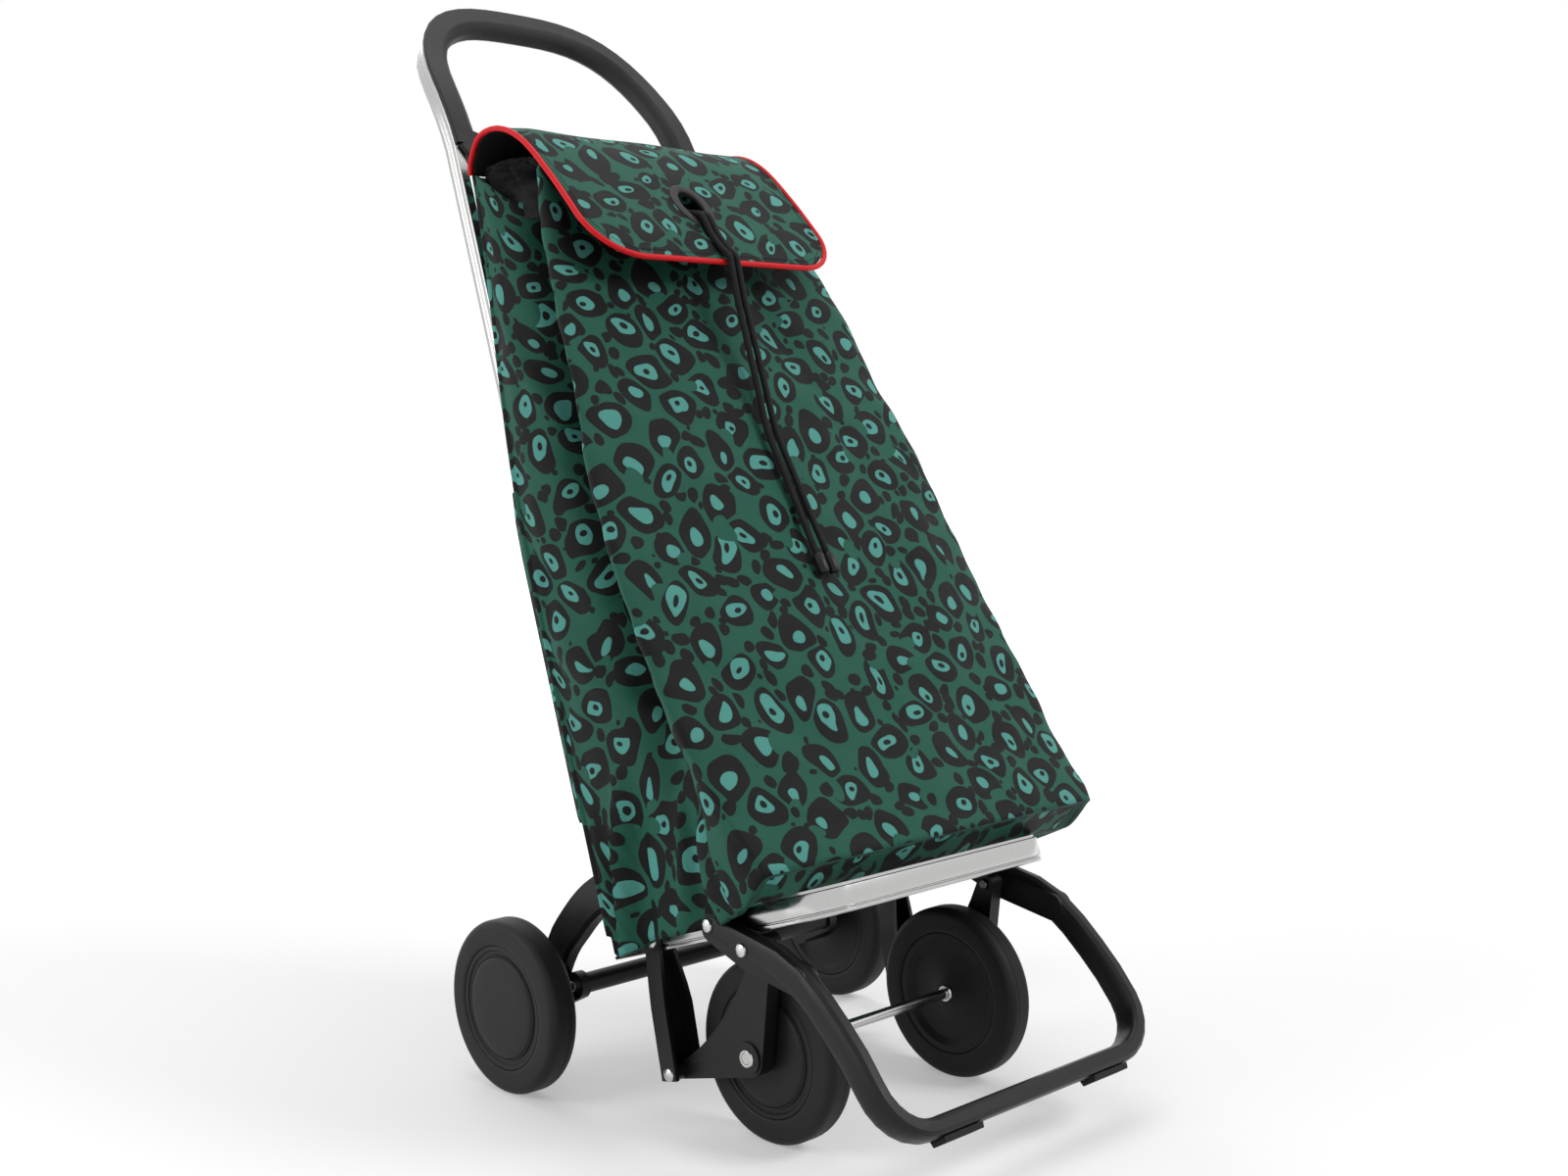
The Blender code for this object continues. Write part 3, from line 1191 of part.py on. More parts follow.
def main():
    """Build the trolley from the floor up."""
    trolley = Trolley()
    upper, lower = strut_axis_points()
    trolley.axis("foot_axis", leaning(0, *FOOT_PIVOT))
    for side in SIDES:
        trolley.axis(f"strut_{side}_axis", upper)
    trolley.axis("front_carriage", lower, trolley.axes["strut_left_axis"])
    fold = flap_sheet().place(0.0, FLAP_FOLD, -FLAP_WALL / 2)
    trolley.axis("flap_axis", fold)
    print("flap fold at", np.round(fold, 6))
    build_frame(trolley)
    build_shelf(trolley)
    build_rear(trolley)
    build_wheels(trolley)
    build_struts(trolley)
    build_front_carriage(trolley)
    build_foot(trolley)
    build_bag(trolley)
    build_flap(trolley)
    build_cords(trolley)
    stand_on_origin(trolley)


main()
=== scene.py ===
"""Looks of a four-wheeled shopping trolley with a printed bag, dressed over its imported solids.

Lengths are metres in the frame of the solids: +Z is up and the person who pulls stands at +Y.
Soft pieces and wheels are worked out as numpy surfaces; hard mouldings keep the shape of their
solids and get rounded edges and a finish.
"""

from __future__ import annotations

import json
import logging
import math
from dataclasses import dataclass
from enum import Enum
from typing import Any, Sequence

import bmesh
import bpy
import numpy as np
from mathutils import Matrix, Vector

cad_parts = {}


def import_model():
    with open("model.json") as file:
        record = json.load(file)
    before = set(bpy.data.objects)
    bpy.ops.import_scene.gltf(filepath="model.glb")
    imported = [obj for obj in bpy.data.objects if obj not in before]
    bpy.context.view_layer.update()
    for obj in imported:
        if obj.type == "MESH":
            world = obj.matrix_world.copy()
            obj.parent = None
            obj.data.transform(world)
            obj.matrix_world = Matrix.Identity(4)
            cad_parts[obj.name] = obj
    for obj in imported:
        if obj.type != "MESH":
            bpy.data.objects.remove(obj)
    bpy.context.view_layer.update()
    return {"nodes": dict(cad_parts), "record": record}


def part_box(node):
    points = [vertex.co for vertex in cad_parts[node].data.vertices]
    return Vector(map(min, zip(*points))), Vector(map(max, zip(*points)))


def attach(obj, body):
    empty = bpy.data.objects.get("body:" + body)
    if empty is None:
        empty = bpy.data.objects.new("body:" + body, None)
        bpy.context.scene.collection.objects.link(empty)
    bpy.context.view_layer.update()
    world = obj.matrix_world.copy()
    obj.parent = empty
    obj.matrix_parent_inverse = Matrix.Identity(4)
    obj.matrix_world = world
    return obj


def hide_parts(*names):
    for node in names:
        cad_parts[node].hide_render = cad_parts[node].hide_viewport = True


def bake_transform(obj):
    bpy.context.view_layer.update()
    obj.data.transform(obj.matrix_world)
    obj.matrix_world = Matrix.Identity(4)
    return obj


LOG = logging.getLogger("trolley")
# Distance from the rear axle forward to the heel that the frame leans from.
HEEL_AHEAD = 0.0864
Array = np.ndarray
Colour = tuple[float, float, float]


class Side(Enum):
    """The two sides of the trolley, with the sign of their X."""

    LEFT = -1
    RIGHT = 1

    @property
    def word(self) -> str:
        """The side's name as the solids use it."""
        return self.name.lower()


class Row(Enum):
    """The two pairs of wheels, named as the solids are."""

    REAR = "rear"
    FRONT = "front"


class Corner(Enum):
    """Lines down the bag that the points of its outline hang on."""

    BACK = "back"
    BETWEEN = "between"
    FRONT = "front"


def smoothstep(low: float, high: float, value: Any) -> Array:
    """Ease from 0 where the value is low to 1 where it is high: t squared times (3 - 2t)."""
    t = np.clip((np.asarray(value, float) - low) / (high - low), 0.0, 1.0)
    return t * t * (3 - 2 * t)


def curve_through(points: Any, steps: int) -> Array:
    """Smooth curve through points: a cubic on each stretch whose slope is that of its neighbours' chord.

    Args:
        points: Points in the last two axes, with any axes before them.
        steps: Steps from each point to the next.

    Returns:
        The points of the curve, in the last two axes.
    """
    p = np.asarray(points, float)
    first = 2 * p[..., :1, :] - p[..., 1:2, :]
    last = 2 * p[..., -1:, :] - p[..., -2:-1, :]
    p = np.concatenate([first, p, last], axis=-2)
    a, b, c, d = (p[..., k : p.shape[-2] - 3 + k, None, :] for k in range(4))
    t = np.linspace(0, 1, steps, endpoint=False)[:, None]
    bend = (2 * a - 5 * b + 4 * c - d) * t**2 + (3 * b - a - 3 * c + d) * t**3
    runs = 0.5 * (2 * b + (c - a) * t + bend)
    runs = runs.reshape(*runs.shape[:-3], -1, runs.shape[-1])
    return np.concatenate([runs, p[..., -2:-1, :]], axis=-2)


def lengths_along(points: Array) -> Array:
    """Distance of each point along its line, from 0.

    Args:
        points: Points in the last two axes.

    Returns:
        The distances, one for each point.
    """
    steps = np.linalg.norm(np.diff(points, axis=-2), axis=-1)
    start = np.zeros((*steps.shape[:-1], 1))
    return np.concatenate([start, np.cumsum(steps, axis=-1)], axis=-1)


def sampled(at: Array, along: Array, values: Array) -> Array:
    """Rows of values of a line, such as its points, at some distances along it."""
    return np.stack([np.interp(at, along, column) for column in values.T], axis=1)


def evenly(points: Array, count: int) -> Array:
    """The same line cut into a number of points at equal steps."""
    along = lengths_along(points)
    return sampled(np.linspace(0, along[-1], count), along, points)


def arc(centre: Sequence[float], radius: float, start: float, stop: float, count: int) -> Array:
    """Points on a circle in a plane, from one angle in degrees to another."""
    turn = np.radians(np.linspace(start, stop, count))
    return np.asarray(centre) + radius * np.stack([np.cos(turn), np.sin(turn)], axis=1)


def full_turn(count: int) -> Array:
    """Angles of a ring of points, once round."""
    return np.linspace(0, math.tau, count, endpoint=False)


def squared_off(wave: Array, power: float) -> Array:
    """A sine or cosine raised to a power with its sign kept, which squares off a round section."""
    return np.sign(wave) * np.abs(wave) ** power


def toned(colour: Colour, factor: float) -> Colour:
    """A colour made darker or lighter by a factor."""
    return tuple(factor * part for part in colour)


def unit(vectors: Array) -> Array:
    """Vectors of length 1 in the same directions."""
    return vectors / np.maximum(np.linalg.norm(vectors, axis=-1, keepdims=True), 1e-12)


def grid_normals(points: Array, around: bool) -> Array:
    """Normals of a grid of points: the cross product of its two slopes.

    Args:
        points: Grid of points, rows by columns.
        around: Whether the columns close on themselves.

    Returns:
        One unit normal for each point, pointing along columns x rows.
    """
    wide = np.concatenate([points[:, -1:], points, points[:, :1]], axis=1) if around else points
    across = np.gradient(wide, axis=1)
    across = across[:, 1:-1] if around else across
    up = np.gradient(points, axis=0)
    return unit(np.cross(across, up))


def ripple(u: Array, v: Array, pitch: float, seed: int, waves: int = 7) -> Array:
    """Soft uneven waves over a surface: a sum of sines in seeded directions.

    Args:
        u: First coordinate in metres.
        v: Second coordinate in metres.
        pitch: Usual length of a wave.
        seed: Seed of the directions and phases.
        waves: Number of sines.

    Returns:
        Heights from about -1 to 1.
    """
    dice = np.random.default_rng(seed)
    turn = dice.uniform(0, math.tau, waves)
    rate = math.tau / (pitch * dice.uniform(0.7, 1.6, waves))
    phase = dice.uniform(0, math.tau, waves)
    along = u[..., None] * np.cos(turn) + v[..., None] * np.sin(turn)
    return np.sin(along * rate + phase).sum(axis=-1) / math.sqrt(waves)


@dataclass(frozen=True)
class Crease:
    """A fold in cloth along a straight line on its surface, in metres of cloth."""

    start: tuple[float, float]
    end: tuple[float, float]
    width: float
    height: float

    def lift(self, u: Array, v: Array) -> Array:
        """Height of the fold: a bell across the line that fades to its ends.

        Args:
            u: First coordinate of the cloth.
            v: Second coordinate of the cloth.

        Returns:
            The lift in metres.
        """
        a, b = np.array(self.start), np.array(self.end)
        way = b - a
        span = float(way @ way)
        share = ((u - a[0]) * way[0] + (v - a[1]) * way[1]) / span
        off = ((u - a[0]) * way[1] - (v - a[1]) * way[0]) / math.sqrt(span)
        fade = smoothstep(-0.15, 0.25, share) * (1 - smoothstep(0.7, 1.15, share))
        return self.height * np.exp(-((off / self.width) ** 2)) * fade


class Wire:
    """An output socket of a shader node; arithmetic on it adds Math nodes."""

    def __init__(self, shade: Shade, socket: bpy.types.NodeSocket) -> None:
        """Keep the socket and the finish that it belongs to."""
        self.shade = shade
        self.socket = socket

    def math(self, operation: str, *values: Any) -> Wire:
        """Add one Math node, with numbers or wires in the order of its inputs."""
        return self.shade.node("ShaderNodeMath", {"operation": operation}, dict(enumerate(values)))

    def __add__(self, other: Any) -> Wire:
        """Sum."""
        return self.math("ADD", self, other)

    def __radd__(self, other: Any) -> Wire:
        """Sum with the number first."""
        return self.math("ADD", other, self)

    def __sub__(self, other: Any) -> Wire:
        """Difference."""
        return self.math("SUBTRACT", self, other)

    def __rsub__(self, other: Any) -> Wire:
        """Difference from a number."""
        return self.math("SUBTRACT", other, self)

    def __mul__(self, other: Any) -> Wire:
        """Product."""
        return self.math("MULTIPLY", self, other)

    def __rmul__(self, other: Any) -> Wire:
        """Product with the number first."""
        return self.math("MULTIPLY", other, self)

    def __gt__(self, other: Any) -> Wire:
        """1 where this value is over the other."""
        return self.math("GREATER_THAN", self, other)

    def sine(self) -> Wire:
        """Sine of the value."""
        return self.math("SINE", self)

    def most(self, other: Any) -> Wire:
        """The larger of two values."""
        return self.math("MAXIMUM", self, other)

    def blend(self, other: Any, width: float) -> Wire:
        """The smaller of two values, rounded where they are closer than a width."""
        return self.math("SMOOTH_MIN", self, other, width)

    def ease(self, low: Any, high: Any) -> Wire:
        """Ease from 0 where the value is low to 1 where it is high."""
        inputs = {"Value": self, "From Min": low, "From Max": high}
        return self.shade.node("ShaderNodeMapRange", {"interpolation_type": "SMOOTHSTEP"}, inputs)

    def other(self, name: Any) -> Wire:
        """Another output of the same node, by name or number."""
        return Wire(self.shade, self.socket.node.outputs[name])


class Shade:
    """Node tree of one finish, around a Principled shader, or of the surroundings."""

    def __init__(self, name: str, world: bool = False) -> None:
        """Start a material with a bare Principled shader, or a world with a bare background.

        Args:
            name: Name of the material or world.
            world: Whether the nodes are a world's.
        """
        owners = bpy.data.worlds if world else bpy.data.materials
        self.owner = owners.new(name)
        self.owner.use_nodes = True
        self.tree = self.owner.node_tree
        self.shader = self.tree.nodes["Background" if world else "Principled BSDF"]

    def feed(self, socket: bpy.types.NodeSocket, value: Any) -> None:
        """Link a wire to a socket, or set the socket to a constant.

        Args:
            socket: Input socket.
            value: Wire, number, colour or vector.
        """
        if isinstance(value, Wire):
            self.tree.links.new(value.socket, socket)
        elif isinstance(value, tuple) and len(value) == 3 and socket.type == "RGBA":
            socket.default_value = (*value, 1.0)
        else:
            socket.default_value = value

    def node(
        self,
        kind: str,
        settings: dict[str, Any] | None = None,
        inputs: dict[Any, Any] | None = None,
        out: Any = 0,
    ) -> Wire:
        """Add any node.

        Args:
            kind: Blender's type name of the node.
            settings: Properties, which are set first.
            inputs: Values or wires by the name or number of the input.
            out: Name or number of the output wanted.

        Returns:
            That output.
        """
        made = self.tree.nodes.new(kind)
        for name, value in (settings or {}).items():
            setattr(made, name, value)
        for name, value in (inputs or {}).items():
            self.feed(made.inputs[name], value)
        return Wire(self, made.outputs[out])

    def place(self, source: str = "Object") -> Wire:
        """Texture coordinate of the piece: Object for solids, UV for cloth and cords."""
        return self.node("ShaderNodeTexCoord", out=source)

    def vector(self, operation: str, *values: Any, out: int = 0) -> Wire:
        """Add one Vector Math node; a length comes out of output 1."""
        return self.node("ShaderNodeVectorMath", {"operation": operation}, dict(enumerate(values)), out)

    def parts(self, vector: Wire) -> tuple[Wire, Wire, Wire]:
        """The three numbers of a vector or colour."""
        split = self.node("ShaderNodeSeparateXYZ", inputs={0: vector})
        return split, split.other(1), split.other(2)

    def gap(self, first: Any, second: Any) -> Wire:
        """Distance between two places."""
        return self.vector("LENGTH", self.vector("SUBTRACT", first, second), out=1)

    def noise(self, place: Wire, scale: float, detail: float = 2.0, out: Any = 0) -> Wire:
        """Noise at a number of cells to the unit of the coordinate."""
        inputs = {"Vector": place, "Scale": scale, "Detail": detail}
        return self.node("ShaderNodeTexNoise", None, inputs, out)

    def cells(self, place: Wire, scale: float, jitter: float, feature: str = "F1") -> Wire:
        """Distances in flat Voronoi cells.

        Args:
            place: Coordinate.
            scale: Cells to the unit of the coordinate.
            jitter: How far the cells stray from a square grid, up to 1.
            feature: F1 for the distance to the cell's middle, or DISTANCE_TO_EDGE.

        Returns:
            The distance, whose node also gives the cell's colour and place.
        """
        settings = {"voronoi_dimensions": "2D", "feature": feature}
        inputs = {"Vector": place, "Scale": scale, "Randomness": jitter}
        return self.node("ShaderNodeTexVoronoi", settings, inputs, "Distance")

    def weave(self, flat: Wire, thread: float) -> Wire:
        """Height of woven threads: a product of sines across and along the cloth."""
        u, v, _ = self.parts(flat)
        rate = math.tau / thread
        return (u * rate).sine() * (v * rate).sine()

    def mix(self, share: Any, first: Any, second: Any) -> Wire:
        """Colour between two colours, at a share of the second."""
        return self.node("ShaderNodeMix", {"data_type": "RGBA"}, {0: share, 6: first, 7: second}, 2)

    def mottle(self, share: Any, colour: Colour, low: float, high: float) -> Wire:
        """A colour between two factors of itself, at a share of the second."""
        return self.mix(share, toned(colour, low), toned(colour, high))

    def bump(self, height: Wire, depth: float, strength: float) -> Wire:
        """Normal bent by a height from 0 to 1, whose depth is in metres."""
        inputs = {"Height": height, "Distance": depth, "Strength": strength}
        return self.node("ShaderNodeBump", None, inputs)

    def done(self, **sockets: Any) -> bpy.types.Material | bpy.types.World:
        """Set the shader's sockets and hand the material or world over.

        Args:
            **sockets: Values or wires by the socket's name, with _ for a blank.

        Returns:
            The finished material or world.
        """
        for name, value in sockets.items():
            self.feed(self.shader.inputs[name.replace("_", " ")], value)
        return self.owner


@dataclass(frozen=True)
class PrintCloth:
    """Woven polyester with a spotted print: dark rings with pale hearts, and small spots between them.

    The cell and the thread are metres. The other sizes of the print are shares of a cell.
    """

    ground: Colour = (0.0225, 0.1150, 0.0790)
    dark: Colour = (0.0070, 0.0072, 0.0078)
    pale: Colour = (0.1020, 0.3700, 0.3200)
    cell: float = 0.0430
    turn: float = math.radians(27)
    jitter: float = 0.36
    sway: float = 0.42
    soft: float = 0.008
    ring_size: float = 0.336
    ring_spread: float = 0.09
    ring_gap: float = 0.030
    squeeze: float = 0.20
    lumps: float = 0.19
    bite_size: float = 0.20
    bite_at: float = 0.42
    bite_over: float = 0.70
    heart_size: float = 0.125
    heart_spread: float = 0.075
    pip_size: float = 0.066
    pip_over: float = 0.40
    spots: float = 2.6
    spot_jitter: float = 0.85
    spot_gap: float = 0.032
    spot_most: float = 0.160
    spot_least: float = 0.055
    thread: float = 0.0007

    def fill(self, inside: Wire) -> Wire:
        """1 inside a printed shape and 0 outside it, with a slightly soft edge."""
        return inside.ease(-self.soft, self.soft)

    def masks(self, s: Shade, flat: Wire) -> tuple[Wire, Wire, Wire]:
        """Shapes of the print: rings are Voronoi cells, squeezed and bent by noise.

        Args:
            s: Finish that the nodes belong to.
            flat: Coordinate of the cloth.

        Returns:
            Where it is dark, where a pale heart lies and where a dark pip lies in the heart.
        """
        half = (0.5, 0.5, 0.5)
        scale = (1 / self.cell, 1 / self.cell, 1.0)
        turn = (0.0, 0.0, self.turn)
        p = s.node("ShaderNodeMapping", None, {"Vector": flat, "Rotation": turn, "Scale": scale})
        sway = s.vector("SUBTRACT", s.noise(p, 1.1, 0.0, "Color"), half)
        p = s.vector("MULTIPLY_ADD", sway, (self.sway, self.sway, 0.0), p)
        lumps = s.noise(p, 1.8, 0.0) - 0.5
        ragged = s.noise(p, 2.7, 0.0) - 0.5

        cell = s.cells(p, 1.0, self.jitter)
        border = s.cells(p, 1.0, self.jitter, "DISTANCE_TO_EDGE")
        one, two, three = s.parts(cell.other("Color"))
        offset = s.vector("SUBTRACT", cell.other("Color"), half)
        way = s.vector("NORMALIZE", s.vector("MULTIPLY", offset, (1.0, 1.0, 0.0)))
        middle = s.vector("SUBTRACT", p, cell.other("Position"))
        along = s.vector("DOT_PRODUCT", middle, way, out=1)
        squeezed = s.vector("MULTIPLY_ADD", way, along * -self.squeeze, middle)
        inside = self.ring_size + self.ring_spread * one + self.lumps * lumps
        inside = inside - s.vector("LENGTH", squeezed, out=1)
        ring = self.fill(inside.blend(border - self.ring_gap, 0.12))

        bite = s.gap(middle, s.vector("MULTIPLY", way, (self.bite_at, self.bite_at, 0.0)))
        bitten = self.fill(self.bite_size + 0.25 * ragged - bite) * (three > self.bite_over)
        from_heart = s.gap(squeezed, s.vector("MULTIPLY", offset, (0.10, 0.13, 0.0)))
        heart = self.fill(self.heart_size + self.heart_spread * two + 0.28 * ragged - from_heart)
        pip = self.fill(self.pip_size + 0.05 * lumps - from_heart) * (two > self.pip_over)

        spot_at = s.cells(p, self.spots, self.spot_jitter).other("Position")
        host = s.cells(spot_at, 1.0, self.jitter)
        host_size, _, _ = s.parts(host.other("Color"))
        room = host - self.ring_size - self.ring_spread * host_size - self.spot_gap
        room = room.blend(self.spot_most, 0.03)
        spot = self.fill(room + 0.18 * ragged - s.gap(p, spot_at)) * (room > self.spot_least)
        return (ring * (1 - bitten)).most(spot), heart, pip

    def make(self) -> bpy.types.Material:
        """Lay the print's colours over each other on the woven cloth.

        Returns:
            The finished material.
        """
        s = Shade("print_cloth")
        flat = s.place("UV")
        black, heart, pip = self.masks(s, flat)
        colour = s.mottle(s.noise(flat, 14.0, 3.0), self.ground, 0.90, 1.10)
        colour = s.mix(black, colour, self.dark)
        colour = s.mix(heart * black, colour, self.pale)
        colour = s.mix(pip * heart * black, colour, self.dark)
        rumple = s.noise(flat, 55.0, 3.0)
        return s.done(
            Base_Color=colour,
            Roughness=0.50 + 0.10 * s.noise(flat, 180.0),
            Normal=s.bump(s.weave(flat, self.thread) * 0.10 + rumple, 0.0011, 0.55),
            Specular_IOR_Level=0.12,
        )


@dataclass(frozen=True)
class PlainCloth:
    """Thin woven cloth of one colour, crumpled in fine folds, or in facets if they have a scale."""

    name: str
    colour: Colour
    crumple: float
    roughness: float
    gloss: float = 0.20
    facets: float = 0.0
    thread: float = 0.0006

    def make(self) -> bpy.types.Material:
        """Crumple the cloth by noise, or by flat facets with sharp creases, and weave it.

        Returns:
            The finished material.
        """
        s = Shade(self.name)
        flat = s.place("UV")
        if self.facets:
            sway = s.noise(flat, 30.0, 1.0, "Color")
            bent = s.vector("MULTIPLY_ADD", sway, (0.016, 0.016, 0.0), flat)
            folds = s.cells(bent, self.facets, 1.0, "DISTANCE_TO_EDGE")
        else:
            folds = s.noise(flat, 45.0, 4.0) + 0.4 * s.noise(flat, 130.0)
        return s.done(
            Base_Color=s.mottle(s.noise(flat, 25.0), self.colour, 0.75, 1.3),
            Roughness=self.roughness + 0.16 * s.noise(flat, 90.0),
            Normal=s.bump(folds + 0.06 * s.weave(flat, self.thread), self.crumple, 0.8),
            Specular_IOR_Level=self.gloss,
        )


@dataclass(frozen=True)
class CordedEdge:
    """Red piping: tape sewn round a cord, with fine slanting ribs."""

    colour: Colour = (0.760, 0.0100, 0.0170)
    rib: float = 0.0011

    def make(self) -> bpy.types.Material:
        """Rib the bead by sines of the length plus the turn round it.

        Returns:
            The finished material.
        """
        s = Shade("red_piping")
        flat = s.place("UV")
        turn, along, _ = s.parts(flat)
        ribs = (along * (math.tau / self.rib) + turn * math.tau).sine()
        return s.done(
            Base_Color=s.mottle(s.noise(flat, 60.0), self.colour, 0.88, 1.1),
            Roughness=0.46 + 0.05 * ribs,
            Normal=s.bump(0.5 + 0.5 * ribs, 0.00012, 0.7),
            Specular_IOR_Level=0.20,
        )


@dataclass(frozen=True)
class BraidedCord:
    """Black braided polyester cord: two sets of strands that wind opposite ways."""

    colour: Colour = (0.0170, 0.0165, 0.0175)
    pitch: float = 0.0088
    strands: int = 4

    def make(self) -> bpy.types.Material:
        """Braid the cord by sines of the turn plus and minus the length; the higher one shows.

        Returns:
            The finished material.
        """
        s = Shade("black_cord")
        flat = s.place("UV")
        turn, along, _ = s.parts(flat)
        wind = along * (math.tau * self.strands / self.pitch)
        rise = turn * (math.tau * self.strands)
        braid = (rise + wind).sine().most((rise - wind).sine())
        fibre = s.noise(flat, 900.0)
        return s.done(
            # Painted shade and light: the colour darkens in the grooves between strands and lightens on
            # their raised tops.
            Base_Color=s.mottle(braid.ease(-0.2, 1.0), self.colour, 0.35, 1.5),
            Roughness=0.62 + 0.2 * fibre,
            Normal=s.bump(0.8 * braid + 0.2 * fibre, 0.0009, 0.9),
            Specular_IOR_Level=0.20,
        )


@dataclass(frozen=True)
class Moulding:
    """Black moulded plastic or rubber: fine grain, and patches that are a little more rubbed."""

    name: str
    colour: Colour
    roughness: float
    grain: float = 1500.0
    depth: float = 0.00012
    gloss: float = 0.24

    def make(self) -> bpy.types.Material:
        """Bend the surface by fine noise, and move colour and gloss by broad noise.

        Returns:
            The finished material.
        """
        s = Shade(self.name)
        spot = s.place()
        patch = s.noise(spot, 22.0, 4.0)
        fine = s.noise(spot, self.grain)
        return s.done(
            Base_Color=s.mottle(patch, self.colour, 0.85, 1.2),
            Roughness=self.roughness - 0.07 + 0.12 * patch + 0.05 * fine,
            Normal=s.bump(fine, self.depth, 0.5),
            Specular_IOR_Level=self.gloss,
        )


@dataclass(frozen=True)
class BrightMetal:
    """Polished or plated metal with faint drawn lines."""

    name: str
    colour: Colour
    roughness: float
    stretch: Colour = (900.0, 25.0, 25.0)

    def make(self) -> bpy.types.Material:
        """Change the gloss a little by noise that is stretched along the drawing.

        Returns:
            The finished material.
        """
        s = Shade(self.name)
        spot = s.place()
        lines = s.noise(s.vector("MULTIPLY", spot, self.stretch), 1.0, 3.0)
        smear = s.noise(spot, 30.0, 3.0)
        return s.done(
            Base_Color=s.mottle(lines, self.colour, 0.93, 1.0),
            Metallic=1.0,
            Roughness=self.roughness + 0.05 * lines + 0.05 * smear,
            Normal=s.bump(lines, 0.00002, 0.4),
        )


class Finishes:
    """All the finishes of the trolley, made once."""

    def __init__(self) -> None:
        """Make every material."""
        plain, moulded, metal = PlainCloth, Moulding, BrightMetal
        self.print_cloth = PrintCloth().make()
        self.lining = plain("black_lining", (0.012, 0.012, 0.013), 0.0008, 0.60).make()
        self.nylon = plain("black_cloth", (0.0060, 0.0060, 0.0065), 0.0180, 0.18, 0.45, 38.0).make()
        self.thread = plain("seam_thread", (0.006, 0.015, 0.011), 0.0002, 0.6).make()
        self.piping = CordedEdge().make()
        self.cord = BraidedCord().make()
        self.moulding = moulded("black_moulding", (0.0085, 0.0082, 0.0084), 0.36, gloss=0.26).make()
        self.grip = moulded("grip_moulding", (0.0170, 0.0168, 0.0175), 0.48, 1900.0, 0.00016).make()
        rubber = (0.0150, 0.0145, 0.0150)
        self.tyre = moulded("black_rubber", rubber, 0.52, 1100.0, 0.00014, 0.20).make()
        centre = (0.0150, 0.0146, 0.0150)
        self.wheel = moulded("wheel_moulding", centre, 0.46, 1300.0, 0.00012, 0.20).make()
        self.board = moulded("board_plastic", (0.030, 0.030, 0.031), 0.55, 700.0, 0.0003).make()
        self.aluminium = metal("polished_aluminium", (0.52, 0.52, 0.515), 0.13).make()
        self.steel = metal("bright_steel", (0.60, 0.60, 0.59), 0.14, (300.0, 300.0, 300.0)).make()


def square_corners(grid: Array) -> Array:
    """The four corners of each square of a grid, in order."""
    return np.stack([grid[:-1, :-1], grid[:-1, 1:], grid[1:, 1:], grid[1:, :-1]], axis=2)


def strip_uv(width: float, columns: int, along: Array) -> Array:
    """Cloth coordinates of a strip, from its width, its squares across and its rows' distances."""
    across = np.linspace(0, width, columns + 1)
    return np.stack(np.broadcast_arrays(across, along[:, None]), axis=2)


def dressed(
    piece: bpy.types.Object, material: bpy.types.Material, slot: str, body: str, *nodes: str
) -> bpy.types.Object:
    """Give a piece its finish, hang it on its body and hide the solids that it stands for.

    Args:
        piece: The piece.
        material: Its finish.
        slot: Not used.
        body: Body that the piece moves with.
        *nodes: Solids that it stands for, if any.

    Returns:
        The piece.
    """
    piece.data.materials.append(material)
    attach(piece, body)
    if nodes:
        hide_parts(*nodes)
    return piece


def mesh_piece(
    name: str, points: Array, faces: Sequence[Array], uv: Array | None = None
) -> bpy.types.Object:
    """New object at the origin from points and faces.

    Args:
        name: Name of the piece.
        points: Points, one to a row.
        faces: Arrays of corner numbers, one array for each face size.
        uv: Coordinates of cloth, one for each face corner in order.

    Returns:
        The object, shaded smooth.
    """
    mesh = bpy.data.meshes.new(name)
    mesh.from_pydata(points.tolist(), [], [face for group in faces for face in group.tolist()])
    if uv is not None:
        layer = mesh.uv_layers.new(name="UVMap")
        layer.data.foreach_set("uv", np.ascontiguousarray(uv, np.float32).ravel())
    mesh.polygons.foreach_set("use_smooth", np.ones(len(mesh.polygons), bool))
    piece = bpy.data.objects.new(name, mesh)
    bpy.context.scene.collection.objects.link(piece)
    return piece


def grid_piece(
    name: str,
    points: Array,
    uv: Array,
    around: bool = False,
    closed: bool = False,
    keep: Array | None = None,
    weld: bool = False,
) -> bpy.types.Object:
    """New object over a grid of points.

    Args:
        name: Name of the piece.
        points: Grid of points, rows by columns.
        uv: Grid of cloth coordinates, with one more column where the grid goes around
            and one more row where it is closed.
        around: Whether the columns close on themselves.
        closed: Whether the rows close on themselves.
        keep: Which of the grid's squares are kept.
        weld: Whether points at one place are merged, as at a pole.

    Returns:
        The object; its faces point along columns x rows.
    """
    rows, columns = points.shape[:2]
    numbers = np.arange(rows * columns).reshape(rows, columns)
    if around:
        numbers = np.concatenate([numbers, numbers[:, :1]], axis=1)
    if closed:
        numbers = np.concatenate([numbers, numbers[:1]], axis=0)
    squares, flat = square_corners(numbers), square_corners(uv)
    if keep is not None:
        squares, flat = squares[keep], flat[keep]
    piece = mesh_piece(name, points.reshape(-1, 3), [squares.reshape(-1, 4)], flat.reshape(-1, 2))
    if weld:
        shape = bmesh.new()
        shape.from_mesh(piece.data)
        bmesh.ops.remove_doubles(shape, verts=shape.verts, dist=1e-6)
        shape.to_mesh(piece.data)
        shape.free()
    return piece


